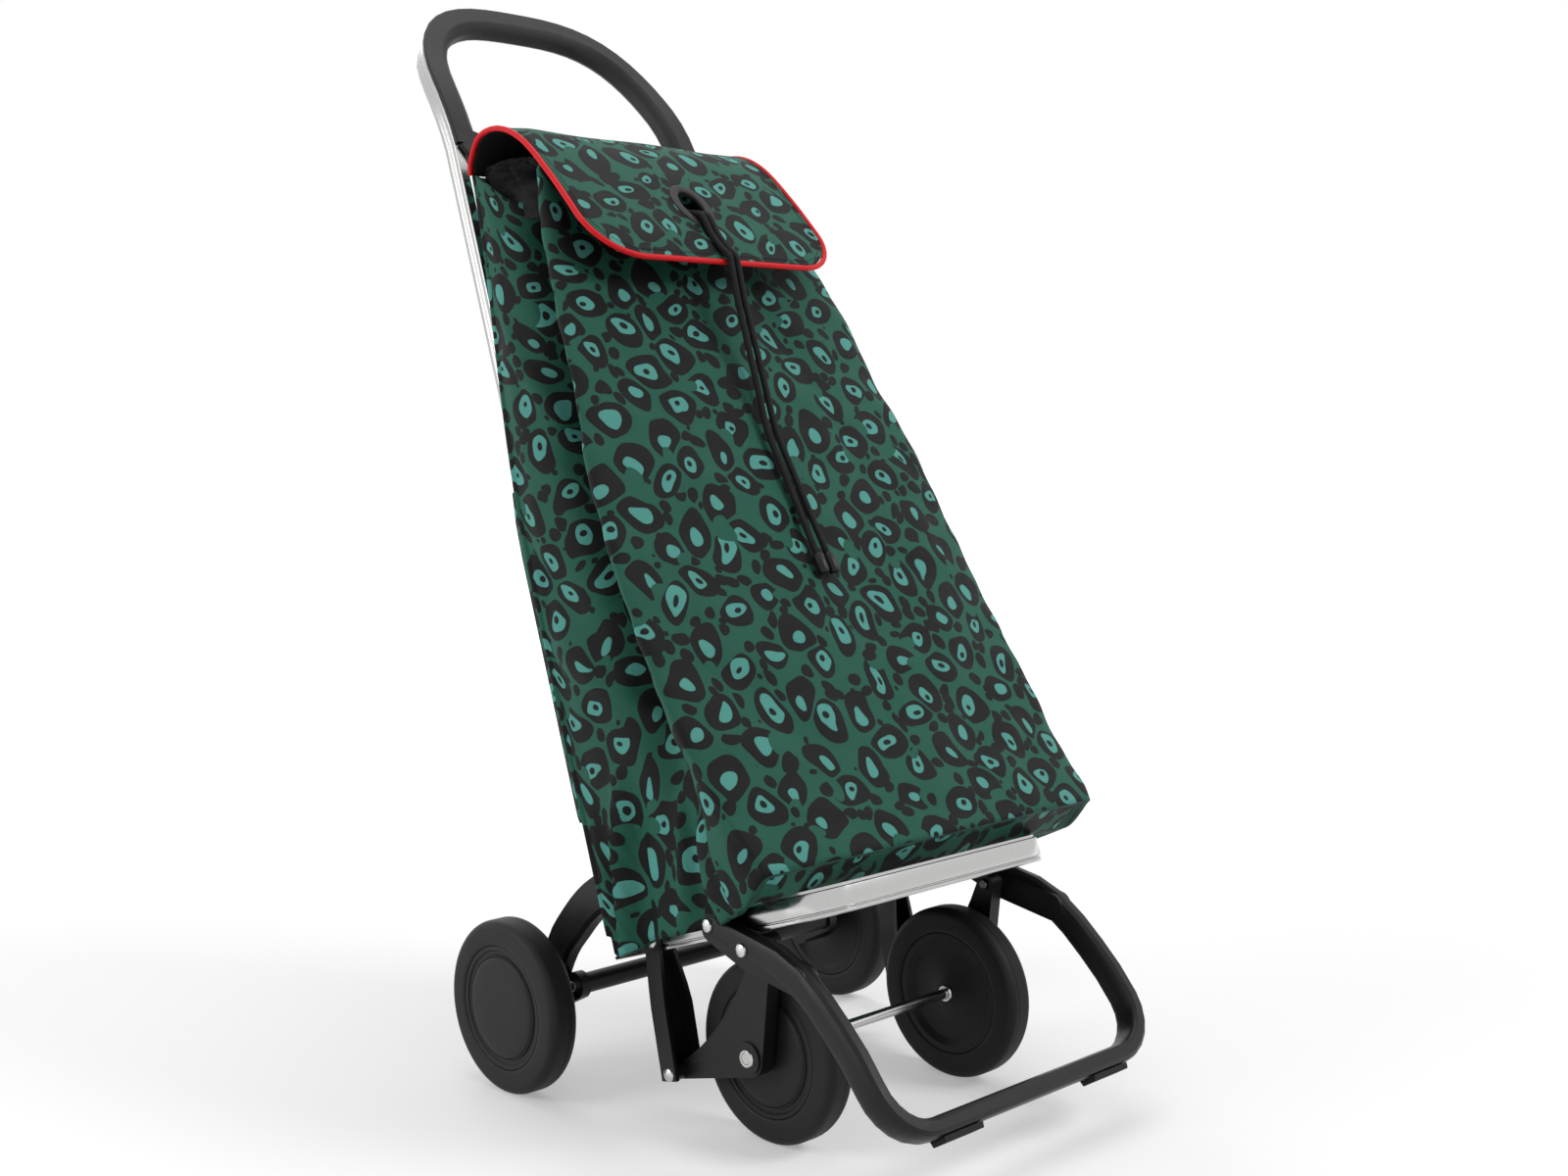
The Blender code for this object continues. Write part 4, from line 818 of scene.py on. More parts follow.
def thicken(piece: bpy.types.Object, wall: float) -> None:
    """Give a surface a wall on its inner side.

    Args:
        piece: Surface whose faces point outwards.
        wall: Thickness.
    """
    solid = piece.modifiers.new("wall", "SOLIDIFY")
    solid.thickness = wall
    solid.offset = -1.0
    solid.use_even_offset = False


def tube_grid(path: Array, radius: Array, sides: int) -> tuple[Array, Array]:
    """Rings of a tube: circles square to a path that never runs along X.

    Args:
        path: Points of the middle line.
        radius: Radius, as rows by sides or anything that spreads to it.
        sides: Points in a ring.

    Returns:
        The grid of points and its coordinates: turn round the tube, and length along it.
    """
    run = unit(np.gradient(path, axis=0))
    across = unit(np.array([1.0, 0.0, 0.0]) - run * run[:, :1])
    other = np.cross(run, across)
    turn = full_turn(sides)[:, None]
    ring = np.cos(turn) * across[:, None, :] + np.sin(turn) * other[:, None, :]
    points = path[:, None, :] + np.broadcast_to(radius, (len(path), sides))[..., None] * ring
    return points, strip_uv(1.0, sides, lengths_along(path))


def stitch_row(
    name: str, line: Array, normals: Array, pitch: float, size: Sequence[float]
) -> bpy.types.Object:
    """A row of stitches: short rounded beads of thread that lie along a line on cloth.

    Args:
        name: Name of the piece.
        line: Points of the line.
        normals: Outward normal of the cloth at each point.
        pitch: Distance from one stitch to the next.
        size: Length, width and height of one stitch.

    Returns:
        The object with all the stitches.
    """
    rings, sides = 5, 6
    along = lengths_along(line)
    at = np.arange(pitch / 2, along[-1], pitch)
    run = unit(sampled(at, along, np.gradient(line, axis=0)))
    out = unit(sampled(at, along, normals))
    side = unit(np.cross(out, run))
    share = np.linspace(-1, 1, rings)[:, None]
    turn = full_turn(sides)[None, :]
    thick = np.sqrt(np.clip(1.04 - share**2, 0.04, 1))
    a = np.broadcast_to(share * size[0] / 2, (rings, sides)).ravel()
    b = (thick * np.cos(turn) * size[1] / 2).ravel()
    c = (thick * np.sin(turn) * size[2] / 2).ravel()
    beads = a[:, None] * run[:, None] + b[:, None] * side[:, None] + c[:, None] * out[:, None]
    points = (sampled(at, along, line)[:, None] + beads).reshape(-1, 3)
    bead = np.arange(rings * sides).reshape(rings, sides)
    square = square_corners(np.concatenate([bead, bead[:, :1]], axis=1)).reshape(-1, 4)
    start = (np.arange(len(at)) * bead.size)[:, None, None]
    walls = (square + start).reshape(-1, 4)
    caps = (np.stack([bead[0, ::-1], bead[-1]]) + start).reshape(-1, sides)
    flat = np.zeros((walls.size + caps.size, 2))
    return mesh_piece(name, points, [walls, caps], flat)


@dataclass(frozen=True)
class Lean:
    """Places on the leaning frame: x across, height up the frame, and distance ahead of it."""

    heel_y: float
    heel_z: float = 0.1424
    tilt: float = math.radians(19.0)

    @property
    def up(self) -> Array:
        """Direction up the frame."""
        return np.array([0.0, math.sin(self.tilt), math.cos(self.tilt)])

    @property
    def ahead(self) -> Array:
        """Direction away from the frame, to the front."""
        return np.array([0.0, -math.cos(self.tilt), math.sin(self.tilt)])

    def place(self, x: Any, height: Any, ahead: Any) -> Array:
        """Points of the solids' frame: the heel, plus height up the frame and distance ahead of it.

        Args:
            x: Places across.
            height: Heights up the frame.
            ahead: Distances ahead of it.

        Returns:
            The points, in the last axis.
        """
        x, height, ahead = np.broadcast_arrays(np.asarray(x, float), height, ahead)
        heel = np.array([0.0, self.heel_y, self.heel_z])
        spot = heel + height[..., None] * self.up + ahead[..., None] * self.ahead
        spot[..., 0] = x
        return spot


class Sheet:
    """Cloth as wide as wanted, bent along a side line in the Y-Z plane."""

    def __init__(self, side_line: Array) -> None:
        """Work out slopes and normals of the side line, given as (y, z) points."""
        self.line = side_line
        self.along = lengths_along(side_line)
        self.length = float(self.along[-1])
        self.run = unit(np.gradient(side_line, self.along, axis=0))
        self.normal = np.stack([-self.run[:, 1], self.run[:, 0]], axis=1)

    def place(self, x: Any, along: Any, off: Any) -> Array:
        """Points on the sheet: the side line plus the offset along its normal.

        Args:
            x: Places across.
            along: Distances along the side line, which runs straight on past its ends.
            off: Offsets to the sheet's under side.

        Returns:
            The points, in the last axis.
        """
        x, along, off = np.broadcast_arrays(np.asarray(x, float), along, off)
        past = along - np.clip(along, 0.0, self.length)

        def column(k: int) -> Array:
            """One coordinate of the points."""
            base = np.interp(along, self.along, self.line[:, k])
            slope = np.interp(along, self.along, self.run[:, k])
            return base + past * slope + off * np.interp(along, self.along, self.normal[:, k])

        return np.stack([x, column(0), column(1)], axis=-1)

    def sweep(self, path: Array, section: Array, closed: bool = False) -> Array:
        """Rings of a section carried along a path on the sheet.

        Args:
            path: Points as (x, along).
            section: Outline as (out, off), where out is to the left of the path.
            closed: Whether the path closes on itself.

        Returns:
            Grid of points, path by section.
        """
        if closed:
            run = unit(np.roll(path, -1, axis=0) - np.roll(path, 1, axis=0))
        else:
            run = unit(np.gradient(path, axis=0))
        out = np.stack([-run[:, 1], run[:, 0]], axis=1)
        spread = path[:, None, :] + section[None, :, :1] * out[:, None, :]
        return self.place(spread[..., 0], spread[..., 1], section[None, :, 1])


@dataclass(frozen=True)
class Knot:
    """Place across of one point of the bag's half outline.

    The point hangs on a line of the bag, at a share of that line's distance from the middle plus an
    offset. The side fold draws it in by a share of its depth, and further where the fold is full.
    """

    line: Corner
    share: float = 1.0
    offset: float = 0.0
    fold: float = 0.0
    tuck: float = 0.0


HALF_OUTLINE = (
    Knot(Corner.BACK, 0.0),
    Knot(Corner.BACK, 0.5),
    Knot(Corner.BACK, offset=-0.006),
    Knot(Corner.BACK),
    Knot(Corner.BACK, offset=0.002),
    Knot(Corner.BACK, offset=0.003),
    Knot(Corner.BACK, fold=0.12),
    Knot(Corner.BACK, fold=0.52, tuck=0.25),
    Knot(Corner.BETWEEN, fold=0.95, tuck=0.70),
    Knot(Corner.BETWEEN, fold=1.05, tuck=0.95),
    Knot(Corner.FRONT, fold=0.80, tuck=1.05),
    Knot(Corner.FRONT, fold=0.22, tuck=0.48),
    Knot(Corner.FRONT),
    Knot(Corner.FRONT, offset=-0.014),
    Knot(Corner.FRONT, 0.5),
    Knot(Corner.FRONT, 0.0),
)
SIDE_DEPTHS = (0.10, 0.22, 0.44, 0.57, 0.66, 0.74, 0.80, 0.86)


@dataclass
class Bag:
    """Printed bag that widens to its foot, with a deep fold down each side and a sewn front seam.

    Its widths and depths are those at the foot, in the middle and at the mouth.
    """

    lean: Lean
    finishes: Finishes
    wall: float = 0.0015
    back: float = 0.0266
    floor: float = 0.0163
    front_foot: float = 0.036
    skirt: float = 0.0125
    widths: tuple[float, float, float] = (0.2155, 0.2127, 0.1229)
    depths: tuple[float, float, float] = (0.2923, 0.1906, 0.1514)
    gather: float = 0.030
    back_width: float = 0.1845
    top_back_width: float = 0.1500
    mouth_height: float = 0.762
    front_rim: float = 0.735
    mouth_slope: float = 0.28
    swell: float = 0.008
    gusset: float = 0.060
    shelf_depth: float = 0.2816
    dip: float = 0.036
    lobe: float = 0.0085
    fold_point: int = 9
    back_print: float = 5.0
    steps: int = 7
    rows: int = 150
    floor_rows: int = 16
    floor_middle: float = 0.43
    seam_row: int = 2
    seam_reach: float = 0.219
    stitch_pitch: float = 0.0042
    stitch: tuple[float, float, float] = (0.0030, 0.0009, 0.0009)

    def outline(self, height: Any, inset: float = 0.0) -> Array:
        """Half outlines of the bag, from the middle of the back to the middle of the front.

        Width and depth are parabolas through their three values, and the fold draws the knots in.

        Args:
            height: Heights up the frame, as an array of rows.
            inset: Distance inside the outer face.

        Returns:
            Outlines as (x, ahead), rows by points.
        """
        height = np.atleast_1d(np.asarray(height, float))
        q = (height - self.front_foot) / self.mouth_height
        bends = ((1 - q) * (1 - 2 * q), 4 * q * (1 - q), q * (2 * q - 1))
        front = sum(width * bend for width, bend in zip(self.widths, bends))
        depth = sum(deep * bend for deep, bend in zip(self.depths, bends))
        depth = depth - self.gather * smoothstep(0.6, 1.0, q) - inset
        fold = self.gusset * (0.05 + 0.95 * smoothstep(0.03, 0.36, q))
        fold = fold * (1 - 0.25 * smoothstep(0.6, 1.0, q))
        tuck = 1 - 0.3 * smoothstep(0.85, 1.0, q)
        front = front - inset * (1 + 3.4 * fold / self.gusset)
        narrower = (self.top_back_width - self.back_width) * smoothstep(0.42, 1.0, q)
        back = self.back_width + narrower - inset
        swell = self.swell * (1 - smoothstep(0.5, 0.95, height / self.mouth_height))
        rear = np.full_like(q, self.back + inset)
        between = back + (front - back) * 0.6
        lines = {Corner.BACK: back, Corner.BETWEEN: between, Corner.FRONT: front}
        x = [
            lines[knot.line] * knot.share + knot.offset - fold * (knot.fold + knot.tuck * tuck)
            for knot in HALF_OUTLINE
        ]
        y = [rear, rear, rear, rear + 0.006, *(rear + (depth - rear) * part for part in SIDE_DEPTHS)]
        y += [depth - 0.011, depth - 0.001, depth + 0.7 * swell, depth + swell]
        return np.stack([np.stack(x, axis=-1), np.stack(y, axis=-1)], axis=-1)

    def whole(self, half: Array) -> Array:
        """Both sides of half outlines, as closed rings of fine points."""
        fine = curve_through(half, self.steps)
        fine[..., 0] = np.maximum(fine[..., 0], 0.0)
        mirror = fine[..., 1:-1, :][..., ::-1, :] * (-1, 1)
        return np.concatenate([fine, mirror], axis=-2)

    def underside(self, ahead: Array) -> Array:
        """Height of the bag's underside: flat on the rail, lifting to the front seam."""
        lift = smoothstep(self.shelf_depth - 0.03, self.depths[0], ahead)
        return self.floor + (self.front_foot - self.floor) * lift

    def rings(self, share: Any, inset: float = 0.0, dip: float = 0.0) -> Array:
        """Points of the wall: outlines stretched from the hanging foot to the sloping mouth.

        Args:
            share: Shares from 0 to 1, as an array of rows.
            inset: Distance inside the outer face.
            dip: How far the mouth's edge sags at its sides.

        Returns:
            Grid of points, rows by columns.
        """
        share = np.atleast_1d(np.asarray(share, float))
        height = self.front_foot + share * (self.front_rim - self.front_foot)
        ring = self.whole(self.outline(height, inset))
        x, ahead = ring[..., 0], ring[..., 1]
        forward = ahead - self.back
        across = forward / (ahead.max(axis=1, keepdims=True) - self.back)
        sag = dip * smoothstep(0.05, 0.55, across) * (1 - smoothstep(0.72, 0.97, across))
        mouth = self.mouth_height - self.mouth_slope * forward - sag
        side = smoothstep(self.back_width - 0.006, self.back_width - 0.002, np.abs(x))
        lobe = self.lobe * (1 - smoothstep(0.028, 0.056, forward)) if dip else 0.0
        hang = (self.skirt + lobe) * smoothstep(0.0, 0.022, forward)
        hang = hang * (1 - smoothstep(0.17, 0.27, ahead))
        foot = self.underside(ahead) - hang * side
        return self.lean.place(x, foot + share[:, None] * (mouth - foot), ahead)

    def front(self, height: Any) -> Array:
        """Distance of the middle of the front at heights."""
        return self.outline(height)[..., -1, 1]

    @property
    def creases(self) -> list[Crease]:
        """Folds of the cloth, in metres from the middle of the front and up from the foot."""
        return [
            Crease((-0.05, 0.62), (-0.12, 0.36), 0.013, 0.0035),
            Crease((0.06, 0.63), (0.15, 0.40), 0.014, 0.0032),
            Crease((-0.015, 0.60), (-0.03, 0.30), 0.020, -0.0026),
            Crease((0.10, 0.60), (0.125, 0.46), 0.010, -0.0028),
            Crease((-0.185, 0.17), (-0.06, 0.07), 0.022, 0.0042),
            Crease((-0.19, 0.11), (-0.08, 0.035), 0.012, -0.0030),
            Crease((0.19, 0.20), (0.08, 0.09), 0.022, 0.0036),
        ]

    @property
    def sags(self) -> list[Crease]:
        """Folds of the hanging sides, in metres round from the middle of the back and up the cloth."""
        edge = self.back_width
        return [
            Crease((edge + 0.074, 0.120), (edge + 0.028, -0.070), 0.0062, -0.0140),
            Crease((edge + 0.096, 0.130), (edge + 0.052, -0.070), 0.0120, 0.0090),
            Crease((edge + 0.040, 0.110), (edge + 0.006, -0.070), 0.0100, 0.0080),
            Crease((edge + 0.160, 0.120), (edge + 0.098, -0.070), 0.0085, -0.0085),
            Crease((edge + 0.182, 0.130), (edge + 0.128, -0.070), 0.0150, 0.0060),
            Crease((edge + 0.020, 0.260), (edge + 0.150, 0.150), 0.0150, -0.0060),
            Crease((edge + 0.010, 0.330), (edge + 0.110, 0.240), 0.0180, 0.0050),
            Crease((edge + 0.010, 0.560), (edge + 0.080, 0.450), 0.0130, -0.0045),
        ]

    def folded(self, wall: Array, around: Array, up: Array, share: Array) -> Array:
        """The wall with its folds and soft unevenness, held flat at the seam, the mouth and the back.

        Args:
            wall: Grid of the smooth wall.
            around: Distances round it from the middle of the back, with one more column.
            up: Distances up the middle of the front.
            share: Share of the height of each row.

        Returns:
            The moved grid.
        """
        front = wall.shape[1] // 2
        u = (around - around[:, front : front + 1])[:, :-1]
        v = np.broadcast_to(up[:, None], u.shape)
        from_back = np.minimum(around, around[:, -1:] - around)[:, :-1]
        uneven = 0.0016 * ripple(u, v, 0.16, 3) + 0.0007 * ripple(u, v, 0.06, 5)
        lifts = [fold.lift(u, v) for fold in self.creases]
        lifts += [fold.lift(from_back, v) for fold in self.sags]
        sewn = (1 - smoothstep(0.23, 0.29, np.abs(u))) * (1 - smoothstep(0.0, 0.012, v))
        hem = (1 - sewn) * (1 - smoothstep(0.97, 1.0, share)[:, None])
        free = smoothstep(0.003, 0.018, (wall - self.lean.place(0, 0, self.back)) @ self.lean.ahead)
        lift = (uneven + sum(lifts)) * hem * free
        return wall + lift[..., None] * grid_normals(wall, True)

    def base(self, foot: Array) -> tuple[Array, Array]:
        """Floor of the bag: rays from its middle to the foot of its wall, laid on the underside.

        Args:
            foot: Ring of points at the foot.

        Returns:
            Points from the middle outwards, and coordinates with one more column.
        """
        middle = self.lean.place(0.0, self.floor, self.depths[0] * self.floor_middle)
        inward = np.linspace(0, 1, self.floor_rows, endpoint=False)[:, None, None]
        floor = middle + (foot - middle) * inward
        from_heel = floor - self.lean.place(0, 0, 0)
        rise = self.underside(from_heel @ self.lean.ahead) - from_heel @ self.lean.up
        floor = floor + np.where(inward < 0.93, rise[..., None], 0.0) * self.lean.up
        under = np.concatenate([floor, floor[:, :1]], axis=1)
        back_to_front = (under - under[:1]) @ -self.lean.ahead - 0.16
        return floor, np.stack([under[..., 0], back_to_front], axis=-1)

    def cloth(self) -> tuple[Array, Array]:
        """Grid of the bag's outer face with its folds, floor first, and its cloth coordinates.

        Returns:
            Points, rows by columns, and coordinates with one more column.
        """
        share = np.linspace(0, 1, self.rows)
        wall = self.rings(share, dip=self.dip)
        front = wall.shape[1] // 2
        around = lengths_along(np.concatenate([wall, wall[:, :1]], axis=1))
        up = lengths_along(wall[:, front])
        column = np.arange(around.shape[1])
        from_fold = np.where(column > front, around - around[:, -1:], around) + self.back_print
        on_front = np.abs(column - front) < front - self.fold_point * self.steps
        u = np.where(on_front, around - around[:, front : front + 1], from_fold)
        uv = np.stack([u, np.broadcast_to(up[:, None], u.shape)], axis=-1)
        wall = self.folded(wall, around, up, share)
        floor, floor_uv = self.base(wall[0])
        return np.concatenate([floor, wall]), np.concatenate([floor_uv, uv])

    def seam(self, points: Array) -> tuple[Array, Array]:
        """Line of the front seam's stitches, a little up from the foot and round both corners.

        Args:
            points: Grid of the bag's outer face.

        Returns:
            Points of the line and the cloth's normals there.
        """
        columns = points.shape[1]
        reach = round(columns * self.seam_reach)
        row = len(points) - self.rows + self.seam_row
        pick = slice(columns // 2 - reach, columns // 2 + reach + 1)
        normals = grid_normals(points, True)[row, pick]
        return points[row, pick] + 0.0003 * normals, normals

    def build(self) -> list[bpy.types.Object]:
        """Cloth of the bag and the stitches of its front seam.

        Returns:
            The pieces.
        """
        points, uv = self.cloth()
        cloth = grid_piece("bag_cloth", points, uv, around=True, weld=True)
        thicken(cloth, self.wall)
        dressed(cloth, self.finishes.print_cloth, "print_cloth", "chassis", "bag_shell")
        line, normals = self.seam(points)
        stitches = stitch_row("bag_seam_stitches", line, normals, self.stitch_pitch, self.stitch)
        dressed(stitches, self.finishes.thread, "print_cloth", "chassis")
        return [cloth, stitches]


@dataclass
class Collar:
    """Thin black cloth that is sewn inside the mouth and drawn together above it in pleats."""

    bag: Bag
    finishes: Finishes
    inset: float = 0.0050
    sewn_at: float = 0.93
    free_from: float = 0.4
    rise: float = 0.026
    closed_to: float = 0.40
    pleats: int = 23
    pleat_depth: float = 0.0095
    crumple: float = 0.0085
    flat: tuple[float, float] = (0.80, 0.10)
    wall: float = 0.0006
    rows: int = 60

    def build(self) -> list[bpy.types.Object]:
        """Rings of the mouth, carried up and drawn in, with pleats that deepen to the gathered edge.

        Returns:
            The pieces.
        """
        t = np.linspace(0, 1, self.rows)
        down = t[:, None]
        share = np.clip(self.sewn_at + (1 - self.sewn_at) * t / self.free_from, 0, 1)
        ring = self.bag.rings(share, self.inset)
        middle = ring.mean(axis=1, keepdims=True)
        drawn = 1 - (1 - self.closed_to) * smoothstep(0.42, 1.0, t)
        spot = middle + (ring - middle) * drawn[:, None, None]
        free = np.clip((t - self.free_from) / (1 - self.free_from), 0, 1)
        up = self.rise * np.sin(free * math.pi * 0.62)
        spot = spot + up[:, None, None] * self.bag.lean.up
        u = np.linspace(0, 1, ring.shape[1], endpoint=False)[None, :]
        v = self.flat[1] * down
        sway = 0.10 * ripple(u * 0.9, v, 0.12, 11)
        fold = np.cos(math.tau * (self.pleats * (u + 0.02 * sway) + sway)) - 1
        depth = self.pleat_depth * smoothstep(0.12, 0.6, down)
        depth = depth * (0.7 + 0.3 * np.cos(math.tau * 7 * u)) * fold * 0.5
        crumple = np.abs(ripple(u * 0.8, v, 0.036, 13, 9))
        depth = depth - self.crumple * crumple * smoothstep(0.1, 0.4, down)
        spot = spot + depth[..., None] * unit(spot - middle)
        uv = strip_uv(self.flat[0], ring.shape[1], v[:, 0])
        cloth = grid_piece("collar_cloth", spot, uv, around=True)
        thicken(cloth, self.wall)
        return [dressed(cloth, self.finishes.nylon, "black_cloth", "chassis", "drawstring_collar")]


@dataclass
class Pocket:
    """Flat pouch sewn on the bag's back between the uprights, open at its top and bound in black."""

    bag: Bag
    finishes: Finishes
    width: float = 0.290
    low: float = 0.117
    high: float = 0.440
    bulge: float = 0.030
    gap: float = 0.0006
    wall: float = 0.0013
    tape: tuple[float, float] = (0.0013, 0.0045)
    ear_in: float = 0.1640
    ear_out: float = 0.0015
    ear_bulge: float = 0.0170
    ear_slope: float = 0.0045
    ear_wall: float = 0.0010
    seam_out: float = 0.0018
    seam_radius: float = 0.0013
    rows: int = 60

    def ear(self, side: Side) -> list[bpy.types.Object]:
        """Side of the pocket that shows past an upright: half a squared-off oval and a dark seam.

        Args:
            side: Which side.

        Returns:
            The pieces.
        """
        lean, back = self.bag.lean, self.bag.back
        share = np.linspace(0, 1, self.rows)[:, None]
        height = self.low + share * (self.high - self.low)
        outer = self.bag.outline(height[:, 0])[:, 3, :1] - self.ear_out
        turn = np.linspace(0, math.pi, 25)[None, :]
        c, s = np.cos(turn), np.sin(turn)
        x = (outer + self.ear_in) / 2 + squared_off(c, 0.5) * (outer - self.ear_in) / 2
        full = smoothstep(0.0, 0.02, share) * (0.85 + 0.15 * smoothstep(1.0, 0.9, share))
        slope = self.ear_slope * (1 + c) / 2
        deep = self.ear_bulge * np.abs(s) ** 0.6 * full
        points = lean.place(side.value * x, height, back - self.gap + slope - deep)
        across = lengths_along(points)
        uv = np.stack([across + 2.1, np.broadcast_to(height, across.shape)], axis=-1)
        if side is Side.RIGHT:
            points, uv = points[:, ::-1], uv[:, ::-1]
        cloth = grid_piece(f"pocket_side_{side.word}", points, uv)
        thicken(cloth, self.ear_wall)
        dressed(cloth, self.finishes.print_cloth, "print_cloth", "chassis")
        edge_x = side.value * (outer[:, 0] + self.seam_out)
        edge = lean.place(edge_x, height[:, 0], back + self.ear_slope)
        tube = tube_grid(edge, self.seam_radius, 10)
        seam = grid_piece(f"pocket_seam_{side.word}", *tube, around=True)
        dressed(seam, self.finishes.lining, "black_cloth", "chassis")
        return [cloth, seam]

    def build(self) -> list[bpy.types.Object]:
        """Rows are outlines across the pouch that swell from the sewn foot, and columns run round it.

        Returns:
            The pieces.
        """
        profile = [(0.0, 0.0), (0.0, 0.35), (0.004, 0.60), (0.03, 0.85)]
        profile += [(0.12, 0.97), (0.35, 1.0), (0.70, 0.95), (1.0, 0.84)]
        rows = evenly(curve_through(profile, 10), self.rows)
        up, swell = rows[:, :1], rows[:, 1:]
        height = self.low + np.clip(up, 0, 1) * (self.high - self.low)
        turn = np.linspace(0, math.pi, 91)[None, :]
        x = -self.width / 2 * squared_off(np.cos(turn), 0.22)
        full = np.abs(np.sin(turn)) ** 0.5
        deep = self.bulge * np.clip(swell, 0, 1) * full
        sag = 0.0012 * ripple(x, height, 0.11, 17) * full * smoothstep(0.1, 0.5, swell)
        ahead = self.bag.back - self.gap - deep + np.abs(sag)
        points = self.bag.lean.place(x, height, ahead)
        across = lengths_along(points)
        along = np.broadcast_to(lengths_along(rows)[:, None], across.shape)
        uv = np.stack([across + 1.3, along * 0.35], axis=-1)
        cloth = grid_piece("pocket_cloth", points[:, ::-1], uv[:, ::-1])
        thicken(cloth, self.wall)
        dressed(cloth, self.finishes.print_cloth, "print_cloth", "chassis", "rear_pocket")
        tape = grid_piece("pocket_binding", *self.binding(points[-1]), around=True)
        dressed(tape, self.finishes.lining, "black_cloth", "chassis")
        return [cloth, tape, *self.ear(Side.LEFT), *self.ear(Side.RIGHT)]

    def binding(self, rim: Array) -> tuple[Array, Array]:
        """Tape folded over the open edge: a flat oval carried along the rim.

        Args:
            rim: Points of the open edge.

        Returns:
            Grid of points and its coordinates.
        """
        line = evenly(rim, 140)
        run = unit(np.gradient(line, axis=0))
        up = np.broadcast_to(self.bag.lean.up, run.shape)[:, None]
        out = unit(np.cross(run, up[:, 0]))[:, None]
        turn = full_turn(14)[:, None]
        thick, tall = self.tape
        points = line[:, None] + (thick * np.cos(turn) * out + tall * np.sin(turn) * up) - 0.003 * up
        return points[:, ::-1], strip_uv(0.02, len(turn), lengths_along(line))


